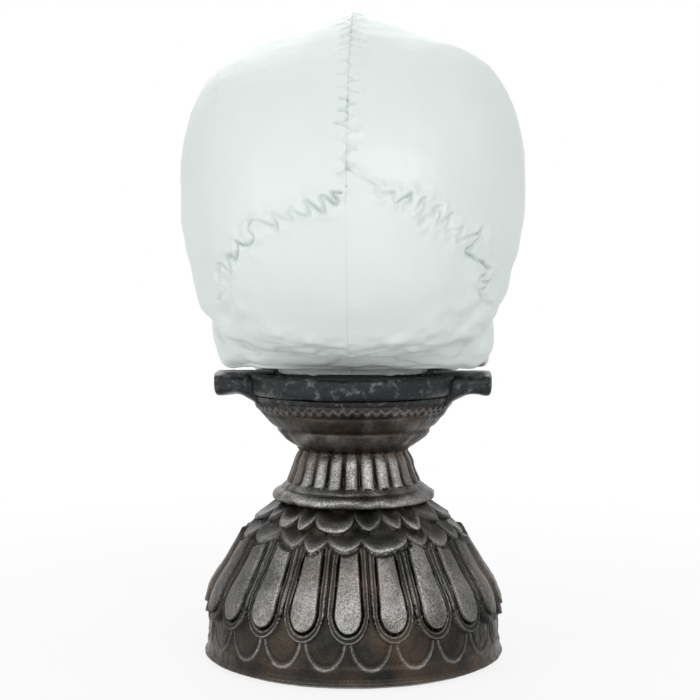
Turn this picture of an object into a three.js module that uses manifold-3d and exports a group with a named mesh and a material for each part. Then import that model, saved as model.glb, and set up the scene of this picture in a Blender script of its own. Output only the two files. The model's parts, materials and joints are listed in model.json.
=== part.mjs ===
// A skull on an urn-shaped pedestal, an indoor Halloween decoration whose jaw moves as it talks.
// The skull is a moulded shell in a left and a right half, glued along the crown. The pedestal is a
// front and a rear half. A motor in the skull turns a pinion, which swings a toothed sector on the
// jaw's axle. Batteries, speaker, board and switch sit in the foot, over a screwed base plate.
// Millimetres. +Z is up, the face looks along -Y, and the origin is the middle of the foot's underside.

import * as THREE from "three";
import { mergeVertices } from "three/addons/utils/BufferGeometryUtils.js";
import Module from "manifold-3d";

const wasm = await Module();
wasm.setup();

// Clearances that every piece shares
const FIT_GAP = 0.3;
const RUNNING_GAP = 0.5;
const OVERRUN = 12;
const MERGE_DISTANCE = 1e-4;

// Pedestal, whose axis stands behind the middle of the whole by its setback
const PEDESTAL_SETBACK = 7;
const PEDESTAL_HEIGHT = 128.4;
const FOOT_RADIUS = 66.4;
const WAIST_RADIUS = 25.2;
const RIM_RADIUS = 47.5;
const RIM_HEIGHT = 9.8;
const PEDESTAL_WALL = 3.2;
const DISH_LIP_WIDTH = 5;
const DISH_DEPTH = 6.4;
const LUG_REACH = 61.6;
const LUG_WIDTH = 35;
const FOOT_LIFT = 0.4;
const LEAF_COUNT = 20;
const SCALE_COUNT = 22;
const FLUTE_COUNT = 22;
const LEAF_RELIEF = 1.7;
const SCALE_RELIEF = 2.2;
const FLUTE_RELIEF = 1.5;
const LEAF_ROUNDING = 7;
const SCALE_ROUNDING = 2.4;
const FOOT_WALL = 7;

// Skull
const SKULL_WIDTH = 154.8;
const SKULL_LENGTH = 180;
const SKULL_HEIGHT = 161.3;
const SKULL_FORWARD = 4;
const SKULL_WALL = 2.4;
const NECK_WIDTH = 66;
const NECK_LENGTH = 47;
const NECK_SETBACK = 5.5;
const EYE_SOCKET_WIDTH = 40;
const EYE_SOCKET_HEIGHT = 35;
const NOSE_WIDTH = 24;
const NOSE_HEIGHT = 29;
const BROW_THICKNESS = 9.6;
const ARCH_THICKNESS = 8.2;
const PIN_RADIUS = 1.7;
const PIN_LENGTH = 4;

// Jaw, which swings in the room between the skull's side and the cheek arch
const AXLE_RADIUS = 2;
const CONDYLE_RADIUS = 6;
const BRANCH_ROOM = 4.2;
const BRANCH_THICKNESS = 6.4;
const JAW_THICKNESS = 8.4;
const TOOTH_COUNT = 12;
const TOOTH_HEIGHT = 8.4;
const TOOTH_DEPTH = 6.6;
const OVERBITE_DEPTH = 3;

// Drive
const SHAFT_RISE = 35;
const SECTOR_TEETH = 60;
const PINION_TEETH = 10;
const SECTOR_THICKNESS = 5;
const SECTOR_HUB_RADIUS = 6;
const SECTOR_RIM_WIDTH = 5;
const SECTOR_SLOT_WIDTH = 5;
const BACKLASH_WIDTH = 0.3;
const PINION_LENGTH = 8;
const MOTOR_RADIUS = 12;
const MOTOR_LENGTH = 30;
const MOTOR_SHAFT_RADIUS = 1;
const MOTOR_NOSE_RADIUS = 4;
const BRACKET_THICKNESS = 3;
const BRACKET_ROOM = 1.5;
const TOWER_ROOM = 2;
const SCREW_RADIUS = 1.3;
const SCREW_DEPTH = 10;
const SCREW_HEAD_RADIUS = 2.6;
const SCREW_HEAD_HEIGHT = 1.8;
const BOSS_RADIUS = 4;
const LED_RADIUS = 2.5;
const LED_LENGTH = 8;
const LED_RIM_WIDTH = 0.75;

// Foot
const PLATE_THICKNESS = 2.6;
const PAD_RADIUS = 5;
const PAD_HEIGHT = 2;
const BATTERY_RADIUS = 7.25;
const BATTERY_LENGTH = 50.5;
const BATTERY_COUNT = 3;
const BAY_WALL = 1.8;
const SPEAKER_RADIUS = 20;
const SPEAKER_HEIGHT = 14;
const BOARD_THICKNESS = 1.6;
const BOARD_LENGTH = 44;
const BOARD_WIDTH = 30;
const SWITCH_TRAVEL = 4;
const SWITCH_LENGTH = 14;
const SWITCH_WIDTH = 7;
const SWITCH_HEIGHT = 6;
const KNOB_LENGTH = 3;
const KNOB_WIDTH = 3;
const CONTACT_THICKNESS = 0.6;
const BAY_LEDGE_WIDTH = 2;
const DOOR_THICKNESS = 1.3;
const DOOR_TONGUE_LENGTH = 9;
const DOOR_TONGUE_WIDTH = 10;
const DOOR_BORE_DEPTH = 0.7;
const PLATE_BORE_DEPTH = 1.2;
const SPEAKER_FLANGE_THICKNESS = 2;
const BOARD_STANDOFF_HEIGHT = 2;
const CHIP_LENGTH = 10;
const CHIP_HEIGHT = 2;
const CAPACITOR_RADIUS = 3;
const CAPACITOR_HEIGHT = 8;
const PAD_INSET = 4.4;
const WIRE_HOLE_RADIUS = 6;
const LOOM_RADIUS = 1.6;

const TURN = 2 * Math.PI;
const QUARTER = Math.PI / 2;

const LOOKS = {
  bone: { color: 0xe6ece8, roughness: 0.42, metalness: 0 },
  bronze: { color: 0x3a352f, roughness: 0.45, metalness: 0.6 },
  black: { color: 0x1b1c1e, roughness: 0.6, metalness: 0 },
  rubber: { color: 0x242424, roughness: 0.9, metalness: 0 },
  steel: { color: 0xa7a9ac, roughness: 0.3, metalness: 1 },
  acetal: { color: 0xf0efe6, roughness: 0.5, metalness: 0 },
  board: { color: 0x1f5a35, roughness: 0.5, metalness: 0 },
  battery: { color: 0x2c3f66, roughness: 0.35, metalness: 0.3 },
  lens: { color: 0xe9e6dc, roughness: 0.2, metalness: 0 },
  wire: { color: 0x8a1f1f, roughness: 0.5, metalness: 0 },
};
const materials = Object.fromEntries(
  Object.entries(LOOKS).map(([name, look]) => [name, new THREE.MeshStandardMaterial(look)]),
);

const model = new THREE.Group();
model.position.y = PEDESTAL_SETBACK;

// Solids from geometries, and back
function solid(geometry) {
  const bare = new THREE.BufferGeometry();
  const flat = geometry.index ? geometry.toNonIndexed() : geometry;
  bare.setAttribute("position", flat.getAttribute("position"));
  const merged = mergeVertices(bare, MERGE_DISTANCE);
  const corners = merged.index.array;
  const kept = [];
  for (let i = 0; i < corners.length; i += 3) {
    const [a, b, c] = corners.slice(i, i + 3);
    if (a !== b && b !== c && c !== a) kept.push([a, b, c]);
  }
  const make = (faces) =>
    new wasm.Manifold(
      new wasm.Mesh({
        numProp: 3,
        vertProperties: merged.attributes.position.array,
        triVerts: new Uint32Array(faces.flat()),
      }),
    );
  const made = make(kept);
  return made.volume() >= 0 ? made : make(kept.map(([a, b, c]) => [a, c, b]));
}

function geometryOf(body) {
  const mesh = body.getMesh();
  const positions = new Float32Array(mesh.numVert * 3);
  for (let i = 0; i < mesh.numVert; i++) {
    positions.set(mesh.vertProperties.subarray(i * mesh.numProp, i * mesh.numProp + 3), i * 3);
  }
  return new THREE.BufferGeometry()
    .setAttribute("position", new THREE.BufferAttribute(positions, 3))
    .setIndex(new THREE.BufferAttribute(mesh.triVerts, 1));
}

const join = (...bodies) => bodies.flat().reduce((all, body) => all.add(body));
const cut = (body, ...tools) => tools.flat().reduce((left, tool) => left.subtract(tool), body);

function add(name, body, look) {
  const mesh = new THREE.Mesh(geometryOf(body), materials[look]);
  mesh.name = name;
  model.add(mesh);
  return mesh;
}

// A closed skin over rings of equally many points, closed to the middle of its first and last ring
function loft(rings) {
  const positions = [];
  const columns = rings[0].length;
  const face = (...points) => points.forEach((p) => positions.push(p.x, p.y, p.z));
  for (let i = 0; i + 1 < rings.length; i++) {
    const [low, high] = [rings[i], rings[i + 1]];
    for (let j = 0; j < columns; j++) {
      const k = (j + 1) % columns;
      face(low[j], low[k], high[k]);
      face(low[j], high[k], high[j]);
    }
  }
  const middle = (ring) =>
    ring.reduce((sum, p) => sum.add(p), new THREE.Vector3()).divideScalar(ring.length);
  const [first, last] = [rings[0], rings[rings.length - 1]];
  const [bottom, top] = [middle(first), middle(last)];
  for (let j = 0; j < columns; j++) {
    const k = (j + 1) % columns;
    face(first[k], first[j], bottom);
    face(last[j], last[k], top);
  }
  const geometry = new THREE.BufferGeometry();
  geometry.setAttribute("position", new THREE.Float32BufferAttribute(positions, 3));
  return solid(geometry);
}

// A rounded outline between an ellipse and a rectangle, as pairs across and along
function roundedOutline(halfAcross, halfAlong, squareness, count) {
  return Array.from({ length: count }, (_, i) => {
    const angle = (i / count) * TURN;
    const [c, s] = [Math.cos(angle), Math.sin(angle)];
    const reach = (Math.abs(c) ** squareness + Math.abs(s) ** squareness) ** (-1 / squareness);
    return [halfAcross * c * reach, halfAlong * s * reach];
  });
}

function rod(radius, from, to, sides = 12) {
  const axis = new THREE.Vector3().subVectors(to, from);
  const geometry = new THREE.CylinderGeometry(radius, radius, axis.length(), sides);
  const up = new THREE.Vector3(0, 1, 0);
  geometry.applyQuaternion(new THREE.Quaternion().setFromUnitVectors(up, axis.normalize()));
  const mid = new THREE.Vector3().addVectors(from, to).divideScalar(2);
  return solid(geometry.translate(mid.x, mid.y, mid.z));
}

const upright = (radius, x, y, z0, z1, sides) =>
  rod(radius, new THREE.Vector3(x, y, z0), new THREE.Vector3(x, y, z1), sides);
const crosswise = (radius, x0, x1, y, z, sides) =>
  rod(radius, new THREE.Vector3(x0, y, z), new THREE.Vector3(x1, y, z), sides);

function block([x0, x1], [y0, y1], [z0, z1]) {
  const geometry = new THREE.BoxGeometry(x1 - x0, y1 - y0, z1 - z0);
  return solid(geometry.translate((x0 + x1) / 2, (y0 + y1) / 2, (z0 + z1) / 2));
}

function turned(profile, sides) {
  const points = profile.map(([radius, height]) => new THREE.Vector2(radius, height));
  return solid(new THREE.LatheGeometry(points, sides).rotateX(QUARTER));
}

function tube(points, radius, steps, sides) {
  const section = new THREE.Shape(
    roundedOutline(radius, radius, 2, sides).map(([a, b]) => new THREE.Vector2(a, b)),
  );
  const curve = new THREE.CatmullRomCurve3(points);
  return solid(
    new THREE.ExtrudeGeometry(section, { steps, extrudePath: curve, bevelEnabled: false }),
  );
}

// A bar along a smooth route, whose radius follows its rows of [share of the way, radius]
function swept(route, radii, steps, sides) {
  const curve = new THREE.CatmullRomCurve3(route);
  const { normals, binormals } = curve.computeFrenetFrames(steps, false);
  const rings = Array.from({ length: steps + 1 }, (_, i) => {
    const middle = curve.getPointAt(i / steps);
    const radius = readTable(radii, i / steps);
    return roundedOutline(radius, radius, 2, sides).map(([a, b]) =>
      middle.clone().addScaledVector(normals[i], a).addScaledVector(binormals[i], b),
    );
  });
  return loft(rings);
}

const mirrored = (body) => solid(geometryOf(body).scale(-1, 1, 1));

// Reads a value between rows of [place, value], with a smooth curve through them
function readTable(rows, place) {
  const last = rows.length - 1;
  if (place <= rows[0][0]) return rows[0][1];
  if (place >= rows[last][0]) return rows[last][1];
  const i = rows.findIndex((row) => row[0] > place);
  const slope = (k) => {
    const [before, after] = [rows[Math.max(0, k - 1)], rows[Math.min(last, k + 1)]];
    return (after[1] - before[1]) / (after[0] - before[0]);
  };
  const [[p0, v0], [p1, v1]] = [rows[i - 1], rows[i]];
  const span = p1 - p0;
  const t = (place - p0) / span;
  const rise = t * t * (3 - 2 * t);
  const lead = t * (1 - t) * (1 - t);
  const tail = t * t * (t - 1);
  return v0 + (v1 - v0) * rise + span * (lead * slope(i - 1) + tail * slope(i));
}

// Pedestal outline: rows of [share of the height, share of the flare], below and above the waist
const FLARE_SHARES = [
  [0, 0.975], [0.02, 1], [0.132, 0.995], [0.2, 0.951], [0.27, 0.891], [0.34, 0.765],
  [0.41, 0.633], [0.481, 0.493], [0.516, 0.35], [0.551, 0.252], [0.586, 0.201],
  [0.621, 0.09], [0.691, 0.034], [0.726, 0],
];
const BOWL_SHARES = [
  [0.726, 0], [0.761, 0.202], [0.796, 0.395], [0.831, 0.596], [0.866, 0.735], [0.901, 0.87], [1, 0.97],
];
const WAIST_SHARE = 0.726;

function pedestalRadius(height) {
  const place = height / PEDESTAL_HEIGHT;
  if (place < WAIST_SHARE) {
    return WAIST_RADIUS + readTable(FLARE_SHARES, place) * (FOOT_RADIUS - WAIST_RADIUS);
  }
  return WAIST_RADIUS + readTable(BOWL_SHARES, place) * (RIM_RADIUS - WAIST_RADIUS);
}

const RIM_BOTTOM = PEDESTAL_HEIGHT - RIM_HEIGHT;
const DISH_RADIUS = RIM_RADIUS - DISH_LIP_WIDTH;
const DISH_FLOOR = PEDESTAL_HEIGHT - DISH_DEPTH;
const DISH_UNDERSIDE = DISH_FLOOR - PEDESTAL_WALL;

// A band of repeated ornament round the pedestal, from a ring of columns that repeats for each copy.
// A row gives its height and how far each column stands out. Where a row is rounded, it rises toward
// the edges of each copy by a share of the band's rounding, so that leaves and scales end in a curve.
function ornamentBand({ copies, columns, rows, relief, rounding = 0 }) {
  const rings = rows.map(({ heightShare, roundShare, swell }) =>
    Array.from({ length: copies * columns.length }, (_, i) => {
      const column = columns[i % columns.length];
      const turnShare = (Math.floor(i / columns.length) + column.place) / copies;
      const z = heightShare * PEDESTAL_HEIGHT + rounding * roundShare * (2 * column.place) ** 2;
      const r = pedestalRadius(z) + relief * swell(column);
      const angle = turnShare * TURN + QUARTER;
      return new THREE.Vector3(r * Math.cos(angle), r * Math.sin(angle), z);
    }),
  );
  return loft(rings);
}

// Foot rim with two rows of tongue leaves that hang point down. Back leaves show between front leaves.
// Rows are [share of the height, rounding, edge, border, tongue], and all but the height say how far
// that column of a leaf rises or stands out, as shares.
const LEAF_ROW_SHARES = [
  [FOOT_LIFT / PEDESTAL_HEIGHT, 0, -0.3, -0.3, -0.3],
  [0.07, 0, 0, 0, 0],
  [0.078, 0.25, -0.6, -1.1, -1.3],
  [0.132, 1, -0.7, -1.1, -1.3],
  [0.138, 1, -0.2, 1, 1],
  [0.19, 0.5, -0.4, 1, 0.4],
  [0.378, 0, -0.4, 0.9, 0.2],
];

function leafBand() {
  const columns = [[-0.5, 0], [-0.32, 1], [0, 2], [0.32, 1]].map(([place, part]) => ({ place, part }));
  const rows = LEAF_ROW_SHARES.map(([heightShare, roundShare, ...swells]) => ({
    heightShare,
    roundShare,
    swell: ({ part }) => swells[part],
  }));
  return ornamentBand({
    copies: LEAF_COUNT,
    columns,
    rows,
    relief: LEAF_RELIEF,
    rounding: LEAF_ROUNDING,
  });
}

// Two rows of cupped scales: each is hollow above a raised lower lip.
// Rows are [share of the height, rounding, edge, middle], the last three as for the leaves.
const SCALE_ROW_SHARES = [
  [0.378, 0, -0.7, -0.7],
  [0.384, 1, -0.1, 1],
  [0.417, 0, 0, -0.3],
  [0.45, 1, -0.2, -0.7],
  [0.456, 1, -0.1, 1],
  [0.49, 0, 0, -0.3],
  [0.53, 0, -0.5, -0.5],
];

function scaleBand() {
  const columns = [[-0.5, 0], [-0.22, 1], [0.22, 1]].map(([place, cup]) => ({ place, cup }));
  const rows = SCALE_ROW_SHARES.map(([heightShare, roundShare, edge, middle]) => ({
    heightShare,
    roundShare,
    swell: ({ cup }) => edge + (middle - edge) * cup,
  }));
  return ornamentBand({
    copies: SCALE_COUNT,
    columns,
    rows,
    relief: SCALE_RELIEF,
    rounding: SCALE_ROUNDING,
  });
}

// Flutes are round-backed ribs between the ring and the waist
const FLUTE_HEIGHT_SHARES = [0.586, 0.64, 0.712];

function fluteBand() {
  const columns = [[-0.5, 0], [-0.25, 0.85], [0.25, 0.85]].map(([place, rib]) => ({ place, rib }));
  const rows = FLUTE_HEIGHT_SHARES.map((heightShare) => ({
    heightShare,
    roundShare: 0,
    swell: ({ rib }) => rib,
  }));
  return ornamentBand({ copies: FLUTE_COUNT, columns, rows, relief: FLUTE_RELIEF });
}

// Plain turned stretches: rows of [share of the height, how far it stands out as a share]
const RING_SHARES = [[0.53, -0.6], [0.535, 0.3], [0.553, 1.1], [0.572, 0.8], [0.586, -0.6]];
const CUP_SHARES = [
  [0.712, -0.5], [0.735, 0], [0.748, 1], [0.768, 1], [0.775, -0.1], [0.82, 0], [0.868, 0.7],
  [0.882, 0.7], [0.888, 0],
];
const TURNED_SIDES = 26;
const CAVITY_SIDES = 16;
const CAVITY_RADIUS = FOOT_RADIUS - FOOT_WALL;

function turnedStretch(rowShares, relief, ...extra) {
  const points = rowShares.map(([share, swell]) => {
    const z = share * PEDESTAL_HEIGHT;
    return [pedestalRadius(z) + relief * swell, z];
  });
  const all = [...points, ...extra];
  return turned([[0, all[0][1]], ...all, [0, all[all.length - 1][1]]], TURNED_SIDES);
}

// A lug: a shelf level with the rim, with a rolled end. Rows are shares of reach, width and depth.
const LUG_SHARES = [[0.6, 1, 1], [0.8, 1, 1], [0.9, 0.99, 1.3], [0.97, 0.93, 1.35], [1, 0.8, 0.8]];

function lug(side) {
  const rings = LUG_SHARES.map(([reach, width, depth]) => {
    const halfDepth = (RIM_HEIGHT * depth) / 2;
    return roundedOutline((LUG_WIDTH * width) / 2, halfDepth, 5, 12).map(
      ([y, z]) => new THREE.Vector3(side * reach * LUG_REACH, y, PEDESTAL_HEIGHT - halfDepth + z),
    );
  });
  return loft(rings);
}

function pedestalBody() {
  const edge = RIM_HEIGHT / 6;
  const rim = [
    [RIM_RADIUS - edge, RIM_BOTTOM],
    [RIM_RADIUS, RIM_BOTTOM + edge],
    [RIM_RADIUS, PEDESTAL_HEIGHT - edge],
    [RIM_RADIUS - edge, PEDESTAL_HEIGHT],
  ];
  return join(
    leafBand(),
    scaleBand(),
    turnedStretch(RING_SHARES, SCALE_RELIEF),
    fluteBand(),
    turnedStretch(CUP_SHARES, FLUTE_RELIEF, ...rim),
    lug(1),
    lug(-1),
  );
}

// The pedestal's hollow: rows of [share of the height, wall thicknesses inside the outline]
const HOLLOW_SHARES = [
  [0.2, 1.7], [0.27, 1.7], [0.36, 1.8], [0.47, 1.8], [0.58, 1.3], [0.71, 1], [0.745, 1], [0.87, 1.3],
];
const PLATE_BOTTOM = PAD_HEIGHT;
const PLATE_TOP = PLATE_BOTTOM + PLATE_THICKNESS;
const CAVITY_TOP_SHARE = 0.19;
const FOOT_BOSS_SHARES = [0.667, 0.6];
const FOOT_BOSSES = [[1, 1], [-1, 1], [1, -1], [-1, -1]].map(([x, y]) => [
  x * FOOT_BOSS_SHARES[0] * CAVITY_RADIUS,
  y * FOOT_BOSS_SHARES[1] * CAVITY_RADIUS,
]);
const NECK_SCREW_SHARES = [[0.27, -0.24], [-0.27, 0.16]];
const NECK_SCREWS = NECK_SCREW_SHARES.map(([x, y]) => [x * NECK_WIDTH, NECK_SETBACK + y * NECK_LENGTH]);

function pedestalHalves() {
  const hollow = HOLLOW_SHARES.map(([share, walls]) => [
    pedestalRadius(share * PEDESTAL_HEIGHT) - walls * PEDESTAL_WALL,
    share * PEDESTAL_HEIGHT,
  ]);
  const top = DISH_UNDERSIDE;
  const cavity = turned(
    [
      [0, -OVERRUN],
      [CAVITY_RADIUS, -OVERRUN],
      [CAVITY_RADIUS, CAVITY_TOP_SHARE * PEDESTAL_HEIGHT],
      ...hollow,
      [hollow[hollow.length - 1][0], top],
      [0, top],
    ],
    CAVITY_SIDES,
  );
  const dish = turned(
    [
      [0, DISH_FLOOR],
      [DISH_RADIUS, DISH_FLOOR],
      [DISH_RADIUS, PEDESTAL_HEIGHT + OVERRUN],
      [0, PEDESTAL_HEIGHT + OVERRUN],
    ],
    TURNED_SIDES,
  );
  const outer = pedestalBody();
  const bossTop = WAIST_SHARE * PEDESTAL_HEIGHT;
  const bosses = FOOT_BOSSES.map(([x, y]) =>
    upright(BOSS_RADIUS, x, y, PLATE_TOP + FIT_GAP, bossTop, 8).intersect(outer),
  );
  const bores = FOOT_BOSSES.map(([x, y]) =>
    upright(SCREW_RADIUS + FIT_GAP, x, y, 0, PLATE_TOP + SCREW_DEPTH + FIT_GAP, 6),
  );
  const holes = [
    upright(WIRE_HOLE_RADIUS, 0, NECK_SETBACK, top - OVERRUN, PEDESTAL_HEIGHT, 12),
    ...NECK_SCREWS.map(([x, y]) =>
      upright(SCREW_RADIUS + FIT_GAP, x, y, top - OVERRUN, PEDESTAL_HEIGHT, 6),
    ),
  ];
  const body = cut(join(cut(outer, cavity), ...bosses), dish, ...bores, ...holes);
  const far = 2 * FOOT_RADIUS;
  const half = (along) => body.intersect(block([-far, far], along, [-far, far]));
  return { front: half([-far, -FIT_GAP / 2]), rear: half([FIT_GAP / 2, far]) };
}

// Skull places are shares: across from the middle plane to the widest point, along the length from the
// middle toward the rear, and up the height from the neck's underside.
const SKULL_FLOOR = PEDESTAL_HEIGHT + FIT_GAP;
const HALF_WIDTH = SKULL_WIDTH / 2;
const spot = ([across, along, up]) =>
  new THREE.Vector3(
    across * HALF_WIDTH,
    along * SKULL_LENGTH - SKULL_FORWARD,
    up * SKULL_HEIGHT + SKULL_FLOOR,
  );
const MIDDLE_SHARES = [0, 0.0556, 0.473];
const MIDDLE = spot(MIDDLE_SHARES);
const HINGE_SHARES = [0, 0.0167, 0.318];
const HINGE = spot(HINGE_SHARES);
const sides = [1, -1];

// The braincase in the middle plane, from the base round the rear and crown to brow and palate
const SAGITTAL_SHARES = [
  [-0.078, 0.151], [0.078, 0.107], [0.189, 0.058], [0.278, 0.054], [0.356, 0.076], [0.433, 0.163],
  [0.483, 0.268], [0.5, 0.392], [0.489, 0.516], [0.45, 0.64], [0.378, 0.758], [0.278, 0.857],
  [0.156, 0.938], [0.017, 0.991], [-0.056, 1], [-0.178, 0.981], [-0.3, 0.926], [-0.4, 0.826],
  [-0.461, 0.709], [-0.489, 0.603], [-0.5, 0.535], [-0.467, 0.461], [-0.389, 0.38], [-0.283, 0.306],
  [-0.189, 0.256], [-0.111, 0.194],
];
// How square the braincase is across, by turns round the middle from the rear up over the crown
const TURN_SQUARENESS = [
  [-0.25, 2.6], [-0.17, 2.77], [-0.083, 2.5], [0, 2.2], [0.125, 2.25], [0.25, 2.3], [0.375, 2],
  [0.486, 1.85], [0.55, 1.9], [0.65, 2.2], [0.75, 2.6],
];
const KEEL_SHARE = 0.05;

// Reach of the braincase against the turn, both in a plane where length and height count alike
const sagittalReach = SAGITTAL_SHARES.map(([along, up]) => {
  const [a, u] = [along - MIDDLE_SHARES[1], up - MIDDLE_SHARES[2]];
  const turn = Math.atan2(u, a) / TURN;
  return [turn < -0.25 ? turn + 1 : turn, Math.hypot(a, u)];
}).sort((first, second) => first[0] - second[0]);
const [firstReach, lastReach] = [sagittalReach[0], sagittalReach[sagittalReach.length - 1]];
sagittalReach.unshift([lastReach[0] - 1, lastReach[1]]);
sagittalReach.push([firstReach[0] + 1, firstReach[1]]);

// Distances from forms, in millimetres, and the smooth joints between them
function braincase(p) {
  const across = Math.abs(p.x) / HALF_WIDTH;
  const [a, u] = [(p.y - MIDDLE.y) / SKULL_LENGTH, (p.z - MIDDLE.z) / SKULL_HEIGHT];
  const angle = Math.atan2(u, a) / TURN;
  const turn = angle < -0.25 ? angle + 1 : angle;
  const squareness = readTable(TURN_SQUARENESS, turn);
  const away = p.distanceTo(MIDDLE);
  const tilt = Math.asin(Math.min(1, Math.abs(p.x) / away));
  const crown = Math.max(0, Math.sin(turn * TURN)) ** 2;
  const keel = 1 - KEEL_SHARE * crown * Math.max(0, Math.sin(4 * Math.min(tilt, QUARTER / 2)));
  const middle = Math.hypot(a, u) / readTable(sagittalReach, turn);
  const fullness = (middle ** squareness + across ** squareness) ** (1 / squareness) / keel;
  return away * (1 - 1 / fullness);
}

function ball(p, centre, radii) {
  const [a, b, c] = radii;
  const [u, v, w] = [(p.x - centre.x) / a, (p.y - centre.y) / b, (p.z - centre.z) / c];
  const reach = Math.hypot(u, v, w);
  return reach === 0 ? -Math.min(a, b, c) : (reach * (reach - 1)) / Math.hypot(u / a, v / b, w / c);
}

function merge(a, b, reach) {
  const h = Math.max(reach - Math.abs(a - b), 0) / reach;
  return Math.min(a, b) - (h * h * reach) / 4;
}

// Bones of the side: places and half sizes as shares of half width, length and height
const MASTOID_SHARES = { at: [0.69, 0.13, 0.12], half: [0.105, 0.065, 0.1] };
const TEMPLE_SHARES = { at: [0.98, -0.267, 0.467], half: [0.29, 0.145, 0.14] };
const TEMPLE_BLEND_SHARE = 0.09;

const sized = ([across, along, up]) => [across * HALF_WIDTH, along * SKULL_LENGTH, up * SKULL_HEIGHT];

function caseForm(point) {
  const p = new THREE.Vector3(Math.abs(point.x), point.y, point.z);
  const temple = ball(p, spot(TEMPLE_SHARES.at), sized(TEMPLE_SHARES.half));
  return -merge(-braincase(p), temple, TEMPLE_BLEND_SHARE * SKULL_LENGTH);
}

// The skin where a form equals a level, sampled on rays from a middle point in rings about the X axis
const RAY_STEP = SKULL_WALL;
const HALVINGS = 12;
const degrees = (list) => list.map((value) => THREE.MathUtils.degToRad(value));
const mirrorList = (list) => [...list.slice(1).map((value) => -value).reverse(), ...list];

function skin(form, level, middle, reach, count, tilts) {
  const pointAt = (turn, tilt) => {
    const way = new THREE.Vector3(
      Math.sin(tilt),
      Math.cos(tilt) * Math.cos(turn),
      Math.cos(tilt) * Math.sin(turn),
    );
    const at = (r) => middle.clone().addScaledVector(way, r);
    let outside = reach;
    while (outside > RAY_STEP && form(at(outside - RAY_STEP)) > level) outside -= RAY_STEP;
    let inside = outside - RAY_STEP;
    for (let i = 0; i < HALVINGS; i++) {
      const half = (inside + outside) / 2;
      if (form(at(half)) > level) outside = half;
      else inside = half;
    }
    return at(inside);
  };
  return loft(
    mirrorList(tilts).map((tilt) =>
      Array.from({ length: count }, (_, i) => pointAt((i / count) * TURN, tilt)),
    ),
  );
}

const CASE_TILTS = degrees([0, 6, 15, 25, 36, 48, 61, 75]);
const CASE_LINING_TILTS = degrees([0, 18, 37, 57, 76]);

// The face below the brow: level sections from the gum upward. The first row stands at the gum. Rows are
// [share of the height, half width, front, widest place, back, squareness].
const FACE_SHARES = [
  [0.192, 0.415, -0.504, -0.3, -0.235, 2.1], [0.235, 0.42, -0.498, -0.3, -0.21, 2.1],
  [0.29, 0.52, -0.466, -0.3, -0.18, 2.2], [0.345, 0.67, -0.462, -0.31, -0.16, 2.4],
  [0.39, 0.69, -0.464, -0.315, -0.16, 2.4], [0.45, 0.69, -0.471, -0.32, -0.16, 2.3],
  [0.51, 0.68, -0.48, -0.32, -0.16, 2.3], [0.555, 0.6, -0.466, -0.31, -0.16, 2.3],
  [0.6, 0.4, -0.42, -0.3, -0.16, 2.2],
];
const BITE_SHARE = 0.14;
const BITE_HEIGHT = SKULL_FLOOR + BITE_SHARE * SKULL_HEIGHT;
const UPPER_GUM = BITE_HEIGHT + TOOTH_HEIGHT;
const LOWER_GUM = BITE_HEIGHT - RUNNING_GAP - TOOTH_HEIGHT;

function faceBlock(inset, columns) {
  const last = FACE_SHARES.length - 1;
  const rings = FACE_SHARES.map(([up, across, front, widest, back, squareness], i) => {
    const level = i === 0 ? UPPER_GUM + inset : spot([0, 0, up]).z - (i === last ? inset : 0);
    const middle = spot([0, widest, 0]).y;
    const halfWidth = across * HALF_WIDTH - inset;
    const forward = (widest - front) * SKULL_LENGTH - inset;
    const rearward = (back - widest) * SKULL_LENGTH - inset;
    return roundedOutline(halfWidth, 1, squareness, columns).map(
      ([x, y]) => new THREE.Vector3(x, middle + y * (y < 0 ? forward : rearward), level),
    );
  });
  return loft(rings);
}

// Raised bones over the face: places on their routes, and how thick they are in shares of the brow
const BROW_SHARES = [
  [0, -0.47, 0.535], [0.14, -0.473, 0.528], [0.3, -0.463, 0.552], [0.48, -0.433, 0.553],
  [0.61, -0.385, 0.515], [0.665, -0.338, 0.43], [0.62, -0.335, 0.35],
];
const BROW_THICKNESS_SHARES = [[0, 0.56], [0.2, 0.5], [0.4, 0.56], [0.7, 0.46], [1, 0.6]];
const NOSE_BONE_SHARES = [[0, -0.45, 0.525], [0, -0.476, 0.485], [0, -0.5, 0.44], [0, -0.523, 0.405]];
const NOSE_BONE_THICKNESS_SHARES = [[0, 1], [0.5, 0.74], [1, 0.36]];

const scaled = (rows, unit) => rows.map(([place, value]) => [place, value * unit]);

function raisedBone(side, route, thicknessRows, steps, sides) {
  const points = route.map(([across, along, up]) => spot([side * across, along, up]));
  return swept(points, scaled(thicknessRows, BROW_THICKNESS), steps, sides);
}

function faceBones() {
  return [
    raisedBone(1, NOSE_BONE_SHARES, NOSE_BONE_THICKNESS_SHARES, 4, 8),
    ...sides.map((side) => raisedBone(side, BROW_SHARES, BROW_THICKNESS_SHARES, 8, 6)),
  ];
}

function skullSkins() {
  const outer = join(skin(caseForm, 0, MIDDLE, SKULL_LENGTH, 32, CASE_TILTS), faceBlock(0, 20), faceBones());
  const lining = join(
    skin(caseForm, -SKULL_WALL, MIDDLE, SKULL_LENGTH, 14, CASE_LINING_TILTS),
    faceBlock(SKULL_WALL, 12),
  );
  return { outer, lining };
}

// Hollows sunk into the skull: lofts whose sections shrink inward. Growing one by the wall gives the
// skin left round it.
const SOCKET_SHARES = [[-0.62, 1.35], [-0.46, 1.02], [-0.38, 0.86], [-0.3, 0.42]];
const SOCKET_PLACE_SHARES = [0.42, 0.42];
const SOCKET_TURN_IN_SHARE = 0.9;
const SOCKET_RIM_SHARE = -0.47;
const SOCKET_SLANT_SHARE = 0.12;
const SOCKET_SQUARENESS = 2.7;

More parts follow.
